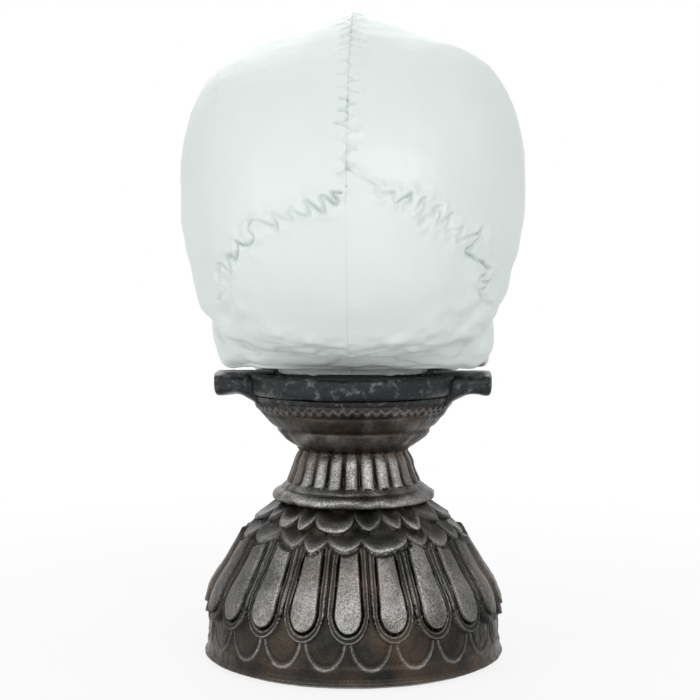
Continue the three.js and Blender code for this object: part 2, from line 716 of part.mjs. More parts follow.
function socketTool(side, grow) {
  const [across, up] = SOCKET_PLACE_SHARES;
  const rings = SOCKET_SHARES.map(([along, size], i) => {
    const back = i === SOCKET_SHARES.length - 1 ? grow : 0;
    const inward = Math.max(0, along - SOCKET_RIM_SHARE) * SOCKET_TURN_IN_SHARE;
    const middle = spot([side * (across - inward), along, up]);
    const halfWidth = (EYE_SOCKET_WIDTH / 2) * size + grow;
    const halfHeight = (EYE_SOCKET_HEIGHT / 2) * size + grow;
    return roundedOutline(halfWidth, halfHeight, SOCKET_SQUARENESS, 12).map(([x, z]) => {
      const slant = side * x * SOCKET_SLANT_SHARE;
      return new THREE.Vector3(middle.x + x, middle.y + back, middle.z + z - slant);
    });
  });
  return loft(rings);
}

const NOSE_SHARES = [[-0.66, 1.1], [-0.5, 1], [-0.42, 0.8]];
const NOSE_UP_SHARE = 0.345;
const NOSE_TAPER_SHARE = 0.8;
const NOSE_SQUARENESS = 2.2;

function noseTool(grow) {
  const rings = NOSE_SHARES.map(([along, size], i) => {
    const back = i === NOSE_SHARES.length - 1 ? grow : 0;
    const middle = spot([0, along, NOSE_UP_SHARE]);
    const [halfWidth, halfHeight] = [(NOSE_WIDTH / 2) * size + grow, (NOSE_HEIGHT / 2) * size + grow];
    return roundedOutline(halfWidth, halfHeight, NOSE_SQUARENESS, 10).map(([x, z]) => {
      const taper = 1 - (NOSE_TAPER_SHARE * z) / NOSE_HEIGHT;
      return new THREE.Vector3(x * taper, middle.y + back, middle.z + z);
    });
  });
  return loft(rings);
}

// The hollow behind the cheekbone, beside the braincase, in which the jaw's upright branch swings.
// Rows are [share of the half width, size].
const HOLLOW_WALL_SHARE = 0.645;
const HOLLOW_WALL_OUT = HOLLOW_WALL_SHARE * HALF_WIDTH;
const HOLLOW_WALL_IN = HOLLOW_WALL_OUT - SKULL_WALL;
const BRANCH_INSIDE = HOLLOW_WALL_OUT + BRANCH_ROOM;
const JAW_HALF_WIDTH = BRANCH_INSIDE + BRANCH_THICKNESS;
const JAW_HOLLOW_SHARES = [[HOLLOW_WALL_SHARE, 0.88], [0.8, 0.98], [1.3, 1.5]];
const JAW_HOLLOW_PLACE_SHARES = [-0.09, 0.15];
const JAW_HOLLOW_HALF_SHARES = [0.22, 0.29];
const JAW_HOLLOW_SQUARENESS = 3;

function jawHollow(side, grow) {
  const [along, up] = JAW_HOLLOW_PLACE_SHARES;
  const [lengthShare, heightShare] = JAW_HOLLOW_HALF_SHARES;
  const rings = JAW_HOLLOW_SHARES.map(([across, size], i) => {
    const inward = i === 0 ? -grow : 0;
    const middle = spot([across, along, up]);
    const halfLength = lengthShare * SKULL_LENGTH * size + grow;
    const halfHeight = heightShare * SKULL_HEIGHT * size + grow;
    return roundedOutline(halfLength, halfHeight, JAW_HOLLOW_SQUARENESS, 12).map(
      ([y, z]) => new THREE.Vector3(side * (middle.x + inward), middle.y + y, middle.z + z),
    );
  });
  return loft(rings);
}

// The neck is a round-cornered collar that spreads into the wide flat base under the braincase.
// Rows are [share of the skull's height, shares of the neck's width and length, setback share,
// squareness].
const NECK_SQUARENESS = 3.4;
const BASE_SHARES = [
  [0, 1, 1, 0, NECK_SQUARENESS], [0.012, 1.04, 1.04, 0, NECK_SQUARENESS], [0.022, 1.5, 1.16, 0.012, 3],
  [0.06, 1.68, 1.42, 0.04, 2.6], [0.13, 1.68, 1.55, 0.05, 2.3], [0.22, 1.4, 1.3, 0.03, 2],
];

function neckCollar(inset, bottom) {
  const rings = BASE_SHARES.map(([up, width, length, back, squareness]) => {
    const z = up === 0 ? bottom : SKULL_FLOOR + up * SKULL_HEIGHT;
    const middle = NECK_SETBACK + back * SKULL_LENGTH;
    const [halfWidth, halfLength] = [(NECK_WIDTH / 2) * width - inset, (NECK_LENGTH / 2) * length - inset];
    return roundedOutline(halfWidth, halfLength, squareness, 12).map(
      ([x, y]) => new THREE.Vector3(x, middle + y, z),
    );
  });
  return loft(rings);
}

// Cheek arch from the cheekbone to the temple, over the jaw's hinge and clear of the jaw's branch. Its
// route's shares run across from the cheekbone to the widest place of the arch.
const ARCH_OUT_SHARE = (JAW_HALF_WIDTH + BRANCH_ROOM + ARCH_THICKNESS / 2) / HALF_WIDTH;
const ARCH_SHARES = [
  [0.62, -0.345, 0.35], [0.82, -0.315, 0.352], [0.96, -0.235, 0.35], [1, -0.14, 0.347],
  [1, -0.01, 0.348], [0.97, 0.075, 0.353], [0.86, 0.13, 0.358],
];
const ARCH_THICKNESS_SHARES = [[0, 0.68], [0.2, 0.72], [0.4, 0.52], [0.75, 0.5], [1, 0.7]];

function cheekArch(side) {
  const points = ARCH_SHARES.map(([out, along, up]) => spot([side * out * ARCH_OUT_SHARE, along, up]));
  return swept(points, scaled(ARCH_THICKNESS_SHARES, ARCH_THICKNESS), 7, 6);
}

function mastoid(side) {
  const geometry = new THREE.SphereGeometry(1, 8, 6);
  const [across, along, up] = MASTOID_SHARES.at;
  const middle = spot([side * across, along, up]);
  const [a, b, c] = sized(MASTOID_SHARES.half);
  return solid(geometry.rotateX(QUARTER).scale(a, b, c).translate(middle.x, middle.y, middle.z));
}

// A tooth, narrow at the gum, full below it and thin at its edge. Rows are [share of its height, width
// and depth], and back teeth keep more of their depth.
const TOOTH_SHARES = [[0, 0.86, 0.95], [0.5, 1, 1], [1, 0.92, 0.5]];
const BACK_TOOTH_SHARES = [[0, 0.88, 1.15], [0.5, 1, 1.3], [1, 0.92, 1.15]];
const TOOTH_SQUARENESS = 3;

function tooth(x, y, facing, width, shares, gum, edge) {
  const [c, s] = [Math.cos(facing), Math.sin(facing)];
  const rings = shares.map(([up, wide, deep]) =>
    roundedOutline((width / 2) * wide, (TOOTH_DEPTH / 2) * deep, TOOTH_SQUARENESS, 6).map(
      ([a, b]) => new THREE.Vector3(x + a * c - b * s, y + a * s + b * c, gum + up * (edge - gum)),
    ),
  );
  return loft(rings);
}

// Teeth stand on half an ellipse: its half width, front and widest place are shares of the skull
const TOOTH_ARCH_SHARES = { across: 0.375, front: -0.486, widest: -0.3 };
const TOOTH_ARCH_HALF_WIDTH = TOOTH_ARCH_SHARES.across * HALF_WIDTH;
const TOOTH_ARCH_LENGTH = (TOOTH_ARCH_SHARES.widest - TOOTH_ARCH_SHARES.front) * SKULL_LENGTH;
const UPPER_ARCH_Y = spot([0, TOOTH_ARCH_SHARES.widest, 0]).y;
const LOWER_ARCH_Y = UPPER_ARCH_Y + OVERBITE_DEPTH;
const TOOTH_ARCH_SPREAD = THREE.MathUtils.degToRad(76);
const TOOTH_GAP_SHARE = 0.06;
const FRONT_TEETH_SHARE = 0.5;

function toothRow(side, middle, gum, edge) {
  const halfCount = TOOTH_COUNT / 2;
  return Array.from({ length: halfCount }, (_, i) => {
    const place = (i + 0.5) / halfCount;
    const angle = place * TOOTH_ARCH_SPREAD;
    const across = TOOTH_ARCH_HALF_WIDTH * Math.cos(angle);
    const forward = TOOTH_ARCH_LENGTH * Math.sin(angle);
    const step = (TOOTH_ARCH_SPREAD / halfCount) * Math.hypot(across, forward);
    return tooth(
      side * TOOTH_ARCH_HALF_WIDTH * Math.sin(angle),
      middle - TOOTH_ARCH_LENGTH * Math.cos(angle),
      side * Math.atan2(forward, across),
      step * (1 - TOOTH_GAP_SHARE),
      place < FRONT_TEETH_SHARE ? TOOTH_SHARES : BACK_TOOTH_SHARES,
      gum,
      edge,
    );
  });
}

// Drive train places: the motor's shaft lies straight over the hinge line
const GEAR_MODULE = (2 * SHAFT_RISE) / (SECTOR_TEETH + PINION_TEETH);
const SECTOR_RADIUS = (GEAR_MODULE * SECTOR_TEETH) / 2;
const PINION_RADIUS = (GEAR_MODULE * PINION_TEETH) / 2;
const SHAFT_HEIGHT = HINGE.z + SHAFT_RISE;
const BRACKET_X = -(PINION_LENGTH / 2 + BRACKET_THICKNESS + BRACKET_ROOM);
const MOTOR_X = BRACKET_X - FIT_GAP;
const TOWER_SPREAD = MOTOR_RADIUS + BOSS_RADIUS + TOWER_ROOM;
const bracketTowers = [HINGE.y - TOWER_SPREAD, HINGE.y + TOWER_SPREAD];
// Pins and sockets that line up the halves: places in the middle plane, just inside the shell
const PIN_TURN_SHARES = [0.06, 0.27, 0.44];
const LED_SHARES = [0.268, -0.3, 0.42];

function pinPlaces() {
  return PIN_TURN_SHARES.map((share) => {
    const way = new THREE.Vector3(0, Math.cos(share * TURN), Math.sin(share * TURN));
    let reach = SKULL_LENGTH;
    while (caseForm(MIDDLE.clone().addScaledVector(way, reach)) > 0) reach -= FIT_GAP;
    return MIDDLE.clone().addScaledVector(way, reach - SKULL_WALL - BOSS_RADIUS / 2);
  });
}

function skullBody() {
  const { outer, lining } = skullSkins();
  const form = cut(
    join(outer, neckCollar(0, SKULL_FLOOR), ...sides.map(mastoid)),
    ...sides.map((side) => socketTool(side, 0)),
    noseTool(0),
    ...sides.map((side) => jawHollow(side, 0)),
  );
  const inside = cut(
    join(lining, neckCollar(SKULL_WALL, SKULL_FLOOR + SKULL_WALL)),
    ...sides.map((side) => socketTool(side, SKULL_WALL)),
    noseTool(SKULL_WALL),
    ...sides.map((side) => jawHollow(side, SKULL_WALL)),
  );
  const collarIn = HOLLOW_WALL_IN - BOSS_RADIUS;
  const collars = sides.map((side) =>
    crosswise(BOSS_RADIUS + AXLE_RADIUS, side * collarIn, side * HOLLOW_WALL_OUT, HINGE.y, HINGE.z, 12),
  );
  const neckPosts = NECK_SCREWS.map(([x, y]) =>
    upright(BOSS_RADIUS, x, y, SKULL_FLOOR, SKULL_FLOOR + SCREW_DEPTH + SKULL_WALL, 8),
  );
  const seamBosses = pinPlaces().map(({ y, z }) =>
    crosswise(BOSS_RADIUS, -BOSS_RADIUS * 2, BOSS_RADIUS * 2, y, z, 6),
  );
  const towers = bracketTowers.map((y) =>
    crosswise(BOSS_RADIUS, -HALF_WIDTH, MOTOR_X, y, SHAFT_HEIGHT, 8).intersect(form),
  );
  const body = join(
    cut(form, inside),
    ...[...collars, ...neckPosts, ...seamBosses].map((boss) => boss.intersect(form)),
    ...towers,
    ...sides.map(cheekArch),
    ...sides.flatMap((side) => toothRow(side, UPPER_ARCH_Y, UPPER_GUM + SKULL_WALL, BITE_HEIGHT)),
  );
  const led = spot(LED_SHARES);
  const screwTip = SCREW_DEPTH + FIT_GAP;
  return cut(
    body,
    crosswise(AXLE_RADIUS + RUNNING_GAP, -HALF_WIDTH, HALF_WIDTH, HINGE.y, HINGE.z, 12),
    upright(WIRE_HOLE_RADIUS, 0, NECK_SETBACK, SKULL_FLOOR - OVERRUN, SKULL_FLOOR + OVERRUN, 8),
    ...NECK_SCREWS.map(([x, y]) =>
      upright(SCREW_RADIUS + FIT_GAP, x, y, SKULL_FLOOR - OVERRUN, SKULL_FLOOR + screwTip, 6),
    ),
    ...bracketTowers.map((y) =>
      crosswise(SCREW_RADIUS + FIT_GAP, MOTOR_X - screwTip, MOTOR_X + OVERRUN, y, SHAFT_HEIGHT, 6),
    ),
    ...sides.map((side) =>
      rod(
        LED_RADIUS + FIT_GAP,
        new THREE.Vector3(side * led.x, led.y - OVERRUN, led.z),
        new THREE.Vector3(side * led.x, led.y + OVERRUN, led.z),
        10,
      ),
    ),
  );
}

function skullHalves() {
  const body = skullBody();
  const far = 2 * SKULL_LENGTH;
  const seam = FIT_GAP / 2;
  const pins = pinPlaces();
  const half = (across) => body.intersect(block(across, [-far, far], [0, far]));
  const pegs = pins.map(({ y, z }) => crosswise(PIN_RADIUS, -PIN_LENGTH, seam + PIN_RADIUS, y, z, 6));
  const sockets = pins.map(({ y, z }) =>
    crosswise(PIN_RADIUS + FIT_GAP, -PIN_LENGTH - FIT_GAP, 0, y, z, 6),
  );
  return { left: join(half([seam, far]), ...pegs), right: cut(half([-far, -seam]), ...sockets) };
}

// Lower jaw: stations from the angle of the jaw round to the chin. Rows are the lower border's [half
// width, forward reach, drop below the hinge] and the gum's [half width, forward reach], as shares.
const JAW_DROP_SHARE = 0.471;
const JAW_DROP = JAW_DROP_SHARE * SKULL_HEIGHT;
const JAW_REACH = HINGE.y - LOWER_ARCH_Y + TOOTH_ARCH_LENGTH + TOOTH_DEPTH / 2;
const JAW_SHARES = [
  [1, 0.09, 0.63, 0.97, 0.15], [0.93, 0.3, 0.648, 0.83, 0.354], [0.78, 0.5, 0.76, 0.625, 0.565],
  [0.6, 0.69, 0.875, 0.525, 0.72], [0.42, 0.85, 0.96, 0.4, 0.87], [0.27, 0.965, 1, 0.21, 0.965],
  [0, 1.02, 0.985, 0, 1],
];
const JAW_WAIST_SHARE = 0.3;
const JAW_SQUARENESS = 2.8;

function jawBody() {
  const half = JAW_SHARES.map(([x0, y0, z0, x1, y1]) => [
    new THREE.Vector3(x0 * JAW_HALF_WIDTH, HINGE.y - y0 * JAW_REACH, HINGE.z - z0 * JAW_DROP),
    new THREE.Vector3(x1 * JAW_HALF_WIDTH, HINGE.y - y1 * JAW_REACH, LOWER_GUM),
  ]);
  const otherSide = new THREE.Vector3(-1, 1, 1);
  const farHalf = half.slice(0, -1).reverse();
  const mirror = (pair) => pair.map((point) => point.clone().multiply(otherSide));
  const stations = [...half, ...farHalf.map(mirror)];
  const rings = stations.map(([low, high], i) => {
    const before = stations[Math.max(0, i - 1)][0];
    const after = stations[Math.min(stations.length - 1, i + 1)][0];
    const inward = new THREE.Vector3(after.y - before.y, before.x - after.x, 0).normalize();
    const middle = low.clone().lerp(high, 0.5).addScaledVector(inward, JAW_THICKNESS / 2);
    const rise = high.clone().sub(low).multiplyScalar(0.5);
    return roundedOutline(1, 1, JAW_SQUARENESS, 10).map(([a, b]) => {
      const waist = JAW_WAIST_SHARE * (1 - b * b) * (a < 0 ? 1 : 0);
      const inset = ((a + waist) * JAW_THICKNESS) / 2;
      return middle.clone().addScaledVector(inward, inset).addScaledVector(rise, b);
    });
  });
  return loft(rings);
}

// The upright branch: its side outline has the angle, the hinge head, the notch and the front spur.
// Points are shares of the jaw's reach forward of the hinge and of its drop below it.
const BRANCH_SHARES = [
  [-0.02, 0.35], [-0.035, 0.54], [0.01, 0.63], [0.1, 0.65], [0.28, 0.62], [0.385, 0.44], [0.345, 0.26],
  [0.36, 0.06], [0.335, -0.045], [0.285, 0], [0.22, 0.1], [0.13, 0.11], [0.065, 0.02], [0.045, -0.05],
  [-0.04, -0.05], [-0.055, 0.08],
];
const BRANCH_BEVEL_SHARE = 0.25;

function jawBranch(side) {
  const outline = BRANCH_SHARES.map(
    ([along, drop]) => new THREE.Vector2(HINGE.y - along * JAW_REACH, HINGE.z - drop * JAW_DROP),
  );
  const bevel = BRANCH_THICKNESS * BRANCH_BEVEL_SHARE;
  const geometry = new THREE.ExtrudeGeometry(new THREE.Shape(outline), {
    depth: BRANCH_THICKNESS - 2 * bevel,
    bevelEnabled: true,
    bevelSegments: 1,
    bevelThickness: bevel,
    bevelSize: bevel,
    bevelOffset: -bevel,
  });
  const onSide = new THREE.Matrix4().makeBasis(
    new THREE.Vector3(0, 1, 0),
    new THREE.Vector3(0, 0, 1),
    new THREE.Vector3(1, 0, 0),
  );
  geometry.applyMatrix4(onSide).translate(BRANCH_INSIDE + bevel, 0, 0);
  return side > 0 ? solid(geometry) : mirrored(solid(geometry));
}

function mandible() {
  const heads = sides.map((side) =>
    crosswise(CONDYLE_RADIUS, side * BRANCH_INSIDE, side * JAW_HALF_WIDTH, HINGE.y, HINGE.z, 12),
  );
  const teeth = sides.flatMap((side) =>
    toothRow(side, LOWER_ARCH_Y, LOWER_GUM - SKULL_WALL, BITE_HEIGHT - RUNNING_GAP),
  );
  return cut(
    join(jawBody(), ...sides.map(jawBranch), ...heads, ...teeth),
    crosswise(AXLE_RADIUS + FIT_GAP, -HALF_WIDTH, HALF_WIDTH, HINGE.y, HINGE.z, 12),
  );
}

// Gear outlines: teeth whose flanks are involutes of the base circle, thinned by the backlash
const PRESSURE_ANGLE = THREE.MathUtils.degToRad(20);
const FLANK_STEPS = 2;

const onCircle = (radius, turnShare) =>
  new THREE.Vector2(radius * Math.cos(turnShare * TURN), radius * Math.sin(turnShare * TURN));

function gearOutline(teeth, rootRadius, tipRadius, first, last) {
  const pitchRadius = (GEAR_MODULE * teeth) / 2;
  const baseRadius = pitchRadius * Math.cos(PRESSURE_ANGLE);
  const involute = (radius) => {
    const slope = Math.acos(Math.min(1, baseRadius / radius));
    return Math.tan(slope) - slope;
  };
  const halfAtPitch = (Math.PI * GEAR_MODULE - BACKLASH_WIDTH) / (4 * pitchRadius);
  const pitchInvolute = involute(pitchRadius);
  const halfAt = (radius) => halfAtPitch + pitchInvolute - involute(Math.max(radius, baseRadius));
  const start = Math.max(rootRadius, baseRadius);
  const points = [];
  for (let i = first; i <= last; i++) {
    const middle = (i / teeth) * TURN;
    const flank = Array.from({ length: FLANK_STEPS }, (_, k) => {
      const radius = start + (k / (FLANK_STEPS - 1)) * (tipRadius - start);
      return [halfAt(radius), radius];
    });
    if (rootRadius < start) flank.unshift([flank[0][0], rootRadius]);
    for (const [half, radius] of flank) points.push([middle - half, radius]);
    for (const [half, radius] of flank.reverse()) points.push([middle + half, radius]);
  }
  return points.map(([angle, radius]) => onCircle(radius, angle / TURN));
}

// Extrudes an outline along X, with its first direction up and its second to the rear
function plateAlongX(outline, x0, x1, y, z) {
  const shape = new THREE.Shape(outline);
  const geometry = new THREE.ExtrudeGeometry(shape, { depth: x1 - x0, bevelEnabled: false });
  const onEdge = new THREE.Matrix4().makeBasis(
    new THREE.Vector3(0, 0, 1),
    new THREE.Vector3(0, 1, 0),
    new THREE.Vector3(1, 0, 0),
  );
  return solid(geometry.applyMatrix4(onEdge).translate(x0, y, z));
}

// The sector's teeth, counted from its middle. The pinion's gap lies over its first.
const SECTOR_TEETH_BEFORE = 2.5;
const SECTOR_TEETH_AFTER = 3.5;
const SECTOR_TIP_SHARE = 0.55;
const PINION_TIP_SHARE = 0.9;
const ROOT_SHARE = 0.95;
const HUB_TURN_SHARES = [0.25, 0.35, 0.45, 0.55, 0.65, 0.75];

function sectorGear() {
  const root = SECTOR_RADIUS - (1 + ROOT_SHARE - SECTOR_TIP_SHARE / 2) * GEAR_MODULE;
  const tip = SECTOR_RADIUS + SECTOR_TIP_SHARE * GEAR_MODULE;
  const outline = [
    ...gearOutline(SECTOR_TEETH, root, tip, -SECTOR_TEETH_BEFORE, SECTOR_TEETH_AFTER),
    onCircle(root, (SECTOR_TEETH_AFTER + 1) / SECTOR_TEETH),
    ...HUB_TURN_SHARES.map((turnShare) => onCircle(SECTOR_HUB_RADIUS, turnShare)),
    onCircle(root, -(SECTOR_TEETH_BEFORE + 1) / SECTOR_TEETH),
  ];
  const half = SECTOR_THICKNESS / 2;
  const slotFoot = SECTOR_HUB_RADIUS + SECTOR_RIM_WIDTH / 2;
  const slotTop = SECTOR_RADIUS - 2 * SECTOR_RIM_WIDTH;
  const slot = [
    [slotFoot, -SECTOR_SLOT_WIDTH / 4],
    [slotTop, -SECTOR_SLOT_WIDTH / 2],
    [slotTop, SECTOR_SLOT_WIDTH / 2],
    [slotFoot, SECTOR_SLOT_WIDTH / 4],
  ].map(([up, across]) => new THREE.Vector2(up, across));
  return cut(
    plateAlongX(outline, -half, half, HINGE.y, HINGE.z),
    plateAlongX(slot, -OVERRUN, OVERRUN, HINGE.y, HINGE.z),
    crosswise(AXLE_RADIUS + FIT_GAP, -OVERRUN, OVERRUN, HINGE.y, HINGE.z, 12),
  );
}

function motorPinion() {
  const outline = gearOutline(
    PINION_TEETH,
    PINION_RADIUS - ROOT_SHARE * GEAR_MODULE,
    PINION_RADIUS + PINION_TIP_SHARE * GEAR_MODULE,
    0,
    PINION_TEETH - 1,
  ).map((point) => point.rotateAround(new THREE.Vector2(0, 0), Math.PI));
  return cut(
    plateAlongX(outline, -PINION_LENGTH / 2, PINION_LENGTH / 2, HINGE.y, SHAFT_HEIGHT),
    crosswise(MOTOR_SHAFT_RADIUS + FIT_GAP, -OVERRUN, OVERRUN, HINGE.y, SHAFT_HEIGHT, 8),
  );
}

function driveMotor() {
  const neck = BRACKET_THICKNESS + RUNNING_GAP;
  const body = join(
    crosswise(MOTOR_RADIUS, MOTOR_X - MOTOR_LENGTH, MOTOR_X, HINGE.y, SHAFT_HEIGHT, 16),
    crosswise(MOTOR_NOSE_RADIUS, MOTOR_X - MOTOR_LENGTH / 2, MOTOR_X + neck, HINGE.y, SHAFT_HEIGHT, 12),
  );
  const bore = MOTOR_SHAFT_RADIUS + RUNNING_GAP;
  return cut(body, crosswise(bore, MOTOR_X - MOTOR_LENGTH / 2, OVERRUN, HINGE.y, SHAFT_HEIGHT, 8));
}

function driveBracket() {
  const half = TOWER_SPREAD + BOSS_RADIUS;
  const plate = plateAlongX(
    roundedOutline(MOTOR_RADIUS, half, 3, 14).map(([up, back]) => new THREE.Vector2(up, back)),
    BRACKET_X,
    BRACKET_X + BRACKET_THICKNESS,
    HINGE.y,
    SHAFT_HEIGHT,
  );
  return cut(
    plate,
    crosswise(MOTOR_NOSE_RADIUS + FIT_GAP, -OVERRUN, OVERRUN, HINGE.y, SHAFT_HEIGHT, 12),
    ...bracketTowers.map((y) =>
      crosswise(SCREW_RADIUS + FIT_GAP, -OVERRUN, OVERRUN, y, SHAFT_HEIGHT, 8),
    ),
  );
}

// A pan-headed screw: its shank runs from the head's seat along the given way
function screw(seat, way, length) {
  const profile = [
    [0, -SCREW_HEAD_HEIGHT], [SCREW_HEAD_RADIUS, -SCREW_HEAD_HEIGHT], [SCREW_HEAD_RADIUS, 0],
    [SCREW_RADIUS, 0], [SCREW_RADIUS, length - SCREW_RADIUS], [0, length],
  ].map(([radius, along]) => new THREE.Vector2(radius, along));
  const geometry = new THREE.LatheGeometry(profile, 6);
  const turn = new THREE.Quaternion().setFromUnitVectors(new THREE.Vector3(0, 1, 0), way);
  return solid(geometry.applyQuaternion(turn).translate(seat.x, seat.y, seat.z));
}

// A lamp's collar seats behind the socket's back wall, with its dome in the hole
function eyeLed(side) {
  const led = spot(LED_SHARES);
  const place = (y) => new THREE.Vector3(side * led.x, y, led.z);
  const seat = led.y + SKULL_WALL + FIT_GAP;
  return join(
    rod(LED_RADIUS, place(seat - LED_LENGTH), place(seat + LED_RADIUS / 4), 8),
    rod(LED_RADIUS + LED_RIM_WIDTH, place(seat), place(seat + LED_RADIUS / 2), 8),
  );
}

// What stands in the foot
const BAY_HALF_LENGTH = BATTERY_LENGTH / 2 + CONTACT_THICKNESS + 2 * FIT_GAP;
const BAY_WIDTH = BATTERY_COUNT * (2 * BATTERY_RADIUS + FIT_GAP) + FIT_GAP;
const BAY_FRONT = BAY_WALL - BAY_WIDTH;
const BAY_BACK = BAY_FRONT + BAY_WIDTH;
const BAY_TOP = PLATE_TOP + 2 * BATTERY_RADIUS + 3 * FIT_GAP;
const SPEAKER_Y = BAY_BACK + 2 * BAY_WALL + SPEAKER_RADIUS + FIT_GAP;
const SWITCH_X = BAY_HALF_LENGTH + SPEAKER_RADIUS / 2;
const SWITCH_Y = SPEAKER_Y - SPEAKER_RADIUS / 4;
const BOARD_Z = BAY_TOP + BAY_WALL + BOARD_STANDOFF_HEIGHT;
const doorMiddle = (BAY_FRONT + BAY_BACK) / 2;
const doorScrewX = BAY_HALF_LENGTH + DOOR_TONGUE_LENGTH / 2 + BAY_WALL / 2;

function doorOutline(grow) {
  const half = DOOR_TONGUE_WIDTH / 2 + grow;
  return [
    [[-BAY_HALF_LENGTH - grow, BAY_HALF_LENGTH + grow], [BAY_FRONT - grow, BAY_BACK + grow]],
    [[0, BAY_HALF_LENGTH + DOOR_TONGUE_LENGTH + grow], [doorMiddle - half, doorMiddle + half]],
  ];
}

function doorSlab(grow, heights) {
  return join(...doorOutline(grow).map(([across, along]) => block(across, along, heights)));
}

function boardCorners() {
  const inset = 3 * SCREW_RADIUS;
  const [dx, dy] = [BOARD_LENGTH / 2 - inset, BOARD_WIDTH / 2 - inset];
  return [[dx, dy], [-dx, dy], [dx, -dy], [-dx, -dy]].map(([x, y]) => [x, doorMiddle + y]);
}

// The speaker's grille: how far its slots reach over the cone, and how much of a pitch each one opens
const GRILLE_SHARE = 0.8;
const GRILLE_SLOT_SHARE = 0.4;

function basePlate() {
  const ring = SPEAKER_RADIUS + FIT_GAP;
  const rim = CAVITY_RADIUS - FIT_GAP;
  const profile = [[0, PLATE_BOTTOM], [rim, PLATE_BOTTOM], [rim, PLATE_TOP], [0, PLATE_TOP]];
  const disc = turned(profile, CAVITY_SIDES);
  const bay = block(
    [-BAY_HALF_LENGTH - BAY_WALL, BAY_HALF_LENGTH + BAY_WALL],
    [BAY_FRONT - BAY_WALL, BAY_BACK + BAY_WALL],
    [PLATE_TOP - FIT_GAP, BAY_TOP + BAY_WALL],
  );
  const room = block([-BAY_HALF_LENGTH, BAY_HALF_LENGTH], [BAY_FRONT, BAY_BACK], [PLATE_TOP, BAY_TOP]);
  const mouth = block(
    [-BAY_HALF_LENGTH + BAY_LEDGE_WIDTH, BAY_HALF_LENGTH - BAY_LEDGE_WIDTH],
    [BAY_FRONT + BAY_LEDGE_WIDTH, BAY_BACK - BAY_LEDGE_WIDTH],
    [-OVERRUN, PLATE_TOP + FIT_GAP],
  );
  const recess = doorSlab(0, [-OVERRUN, PLATE_BOTTOM + DOOR_THICKNESS + FIT_GAP]);
  const postFoot = PLATE_BOTTOM + DOOR_THICKNESS + FIT_GAP;
  const post = upright(BOSS_RADIUS, doorScrewX, doorMiddle, postFoot, PLATE_TOP + SCREW_DEPTH / 2, 10);
  const collarTop = PLATE_TOP + SPEAKER_HEIGHT / 2;
  const collar = upright(ring + BAY_WALL, 0, SPEAKER_Y, PLATE_TOP - FIT_GAP, collarTop, 14);
  const slots = [-2, -1, 0, 1, 2].map((i) => {
    const pitch = SPEAKER_RADIUS / 3;
    const reach = GRILLE_SHARE * Math.sqrt(SPEAKER_RADIUS ** 2 - (i * pitch) ** 2);
    const edges = [i - GRILLE_SLOT_SHARE / 2, i + GRILLE_SLOT_SHARE / 2];
    return block(
      [-reach, reach],
      edges.map((place) => SPEAKER_Y + place * pitch),
      [-OVERRUN, PLATE_TOP + OVERRUN],
    );
  });
  const knobRoom = [KNOB_LENGTH / 2 + RUNNING_GAP, KNOB_WIDTH / 2 + RUNNING_GAP];
  const switchSlot = block(
    [SWITCH_X - knobRoom[0], SWITCH_X + knobRoom[0] + SWITCH_TRAVEL],
    [SWITCH_Y - knobRoom[1], SWITCH_Y + knobRoom[1]],
    [-OVERRUN, OVERRUN],
  );
  const pegs = boardCorners().map(([x, y]) =>
    upright(SCREW_RADIUS, x, y, BAY_TOP + BAY_WALL / 2, BOARD_Z - FIT_GAP, 6),
  );
  const screwHole = (x, y, bore) => [
    upright(SCREW_RADIUS + FIT_GAP, x, y, -OVERRUN, OVERRUN * 2, 6),
    upright(SCREW_HEAD_RADIUS + FIT_GAP, x, y, -OVERRUN, PLATE_BOTTOM + bore, 8),
  ];
  return cut(
    join(disc, bay, post, collar, ...pegs),
    room,
    mouth,
    recess,
    upright(ring, 0, SPEAKER_Y, PLATE_TOP, PLATE_TOP + SPEAKER_HEIGHT, 14),
    ...slots,
    switchSlot,
    ...FOOT_BOSSES.flatMap(([x, y]) => screwHole(x, y, PLATE_BORE_DEPTH)),
    upright(SCREW_RADIUS + FIT_GAP, doorScrewX, doorMiddle, -OVERRUN, OVERRUN * 2, 8),
  );
}

function batteryDoor() {
  const seat = PLATE_BOTTOM + DOOR_BORE_DEPTH;
  return cut(
    doorSlab(-FIT_GAP, [PLATE_BOTTOM, PLATE_BOTTOM + DOOR_THICKNESS]),
    upright(SCREW_RADIUS + FIT_GAP, doorScrewX, doorMiddle, -OVERRUN, OVERRUN, 8),
    upright(SCREW_HEAD_RADIUS + FIT_GAP, doorScrewX, doorMiddle, -OVERRUN, seat, 10),
  );
}

function battery(row) {
  const y = BAY_FRONT + FIT_GAP + BATTERY_RADIUS + row * (2 * BATTERY_RADIUS + FIT_GAP);
  const z = PLATE_TOP + FIT_GAP + BATTERY_RADIUS;
  const way = row % 2 === 0 ? 1 : -1;
  const half = BATTERY_LENGTH / 2;
  const button = BATTERY_RADIUS / 5;
  return join(
    crosswise(BATTERY_RADIUS, -way * half, way * (half - button), y, z, 14),
    crosswise(2 * button, way * (half - 2 * button), way * half, y, z, 8),
  );
}

const STRIP_HEIGHT_SHARE = 0.8;

function contactStrip(side) {
  const out = side * (BAY_HALF_LENGTH - FIT_GAP);
  const inward = side * (BAY_HALF_LENGTH - FIT_GAP - CONTACT_THICKNESS);
  const z = PLATE_TOP + FIT_GAP;
  return block(
    [Math.min(out, inward), Math.max(out, inward)],
    [BAY_FRONT + FIT_GAP, BAY_BACK - FIT_GAP],
    [z, z + 2 * STRIP_HEIGHT_SHARE * BATTERY_RADIUS],
  );
}

const SPEAKER_BASKET_SHARE = 0.88;
const SPEAKER_MAGNET_SHARE = 0.55;

